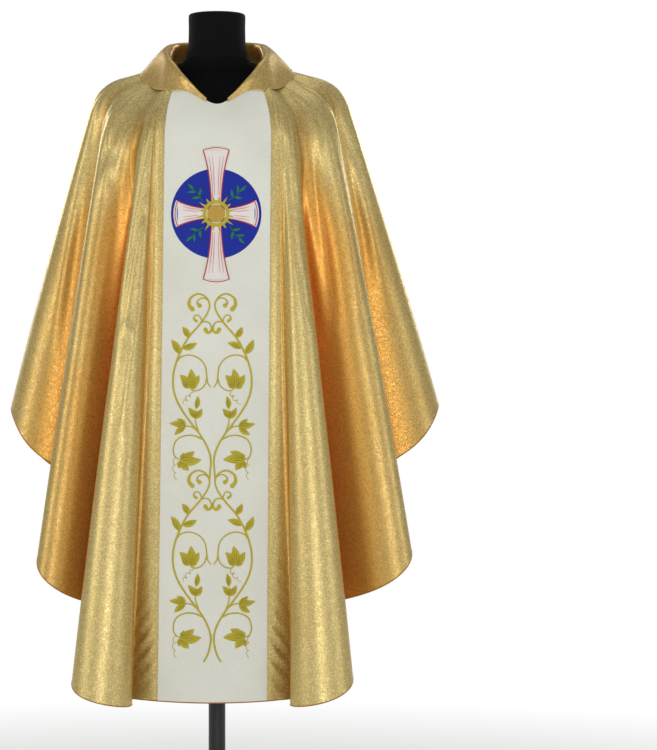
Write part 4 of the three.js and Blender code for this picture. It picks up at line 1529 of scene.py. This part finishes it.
def area_light(name: str, at: tuple[float, float, float], size: float, power: float,
               colour: str) -> None:
    """A square soft light that looks at the middle of the cloth."""
    data = bpy.data.lights.new(name, "AREA")
    data.shape, data.size, data.energy = "SQUARE", size, power
    data.color = linear(colour)[:3]
    light = bpy.data.objects.new(name, data)
    bpy.context.scene.collection.objects.link(light)
    light.location = at
    aim = Vector(LIGHTS_LOOK_AT) - Vector(at)
    light.rotation_euler = aim.to_track_quat("-Z", "Y").to_euler()


def make_stage() -> None:
    """The pale floor that fades to white, the white surround, the lights and the camera."""
    corners = FLOOR_REACH * np.array([[-1, -1], [1, -1], [1, 1], [-1, 1]], float)
    points = np.concatenate([corners, np.full((4, 1), -0.5 * MM)], 1)
    floor = make_mesh("floor", points, np.array([[0, 1, 2, 3]]))
    material, tree, shader = new_material("floor_paint", Roughness=0.9)
    shader.inputs["Base Color"].default_value = linear("#F4F4F3")
    place = add(tree, "TexCoord").outputs["Object"]
    far = add(tree, "VectorMath", {0: place}, operation="LENGTH").outputs["Value"]
    white = add(tree, "Emission", {"Color": linear("#FFFFFF"), "Strength": 1.0})
    share = ranged(tree, far, 0.8, 2.2, 0, 1)
    blend = add(tree, "MixShader", {0: share, 1: shader.outputs[0], 2: white.outputs[0]})
    tree.links.new(blend.outputs[0], tree.nodes["Material Output"].inputs["Surface"])
    floor.data.materials.append(material)
    scene = bpy.context.scene
    world = bpy.data.worlds.new("surround")
    scene.world = world
    world.use_nodes = True
    tree = world.node_tree
    seen = add(tree, "LightPath").outputs["Is Camera Ray"]
    tree.links.new(ranged(tree, seen, 0, 1, SURROUND, 1.0), tree.nodes["Background"].inputs["Strength"])
    tree.nodes["Background"].inputs["Color"].default_value = (1, 1, 1, 1)
    for light in LIGHTS:
        area_light(*light)
    scene.view_settings.view_transform = "Standard"
    camera = bpy.data.cameras.new("camera")
    camera.lens, camera.sensor_width = FOCAL_LENGTH, SENSOR
    camera.shift_x = CAMERA_SHIFT
    camera.clip_end = 100
    eye = bpy.data.objects.new("camera", camera)
    scene.collection.objects.link(eye)
    eye.location = CAMERA_AT
    eye.rotation_euler = (math.radians(90), 0, 0)
    scene.camera = eye


def main() -> None:
    """Load the frame, dress it and set the stage."""
    logging.basicConfig(level=logging.INFO, format="%(name)s %(message)s")
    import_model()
    looks = Finishes.build()
    drape = Drape.from_tables()
    grid = ClothGrid(drape)
    cloth = Cloth(grid, looks)
    cloth.build()
    SeamStitching(grid, looks).build(cloth.sewn_on)
    Collar(drape, looks).build()
    front, back = Embroidery(grid, looks, False), Embroidery(grid, looks, True)
    for side, panel, vine in (("front", front, FRONT_VINE), ("back", back, BACK_VINE)):
        made = [vine_patches(vine, number) for number in range(vine.count)]
        shapes = panel.lay("vine_" + side, [p for shapes, _ in made for p in shapes], "olive")
        lines = [p for _, veins in made for p in veins]
        veins = panel.lay("vine_veins_" + side, lines, "vein", 0.6 * MM)
        cloth.sewn_on[side + "_panel"] += [shapes, veins]
    cloth.sewn_on["front_panel"] += Roundel(front).build()
    cloth.declare()
    DressForm(looks).build()
    make_stage()


if __name__ == "__main__":
    main()
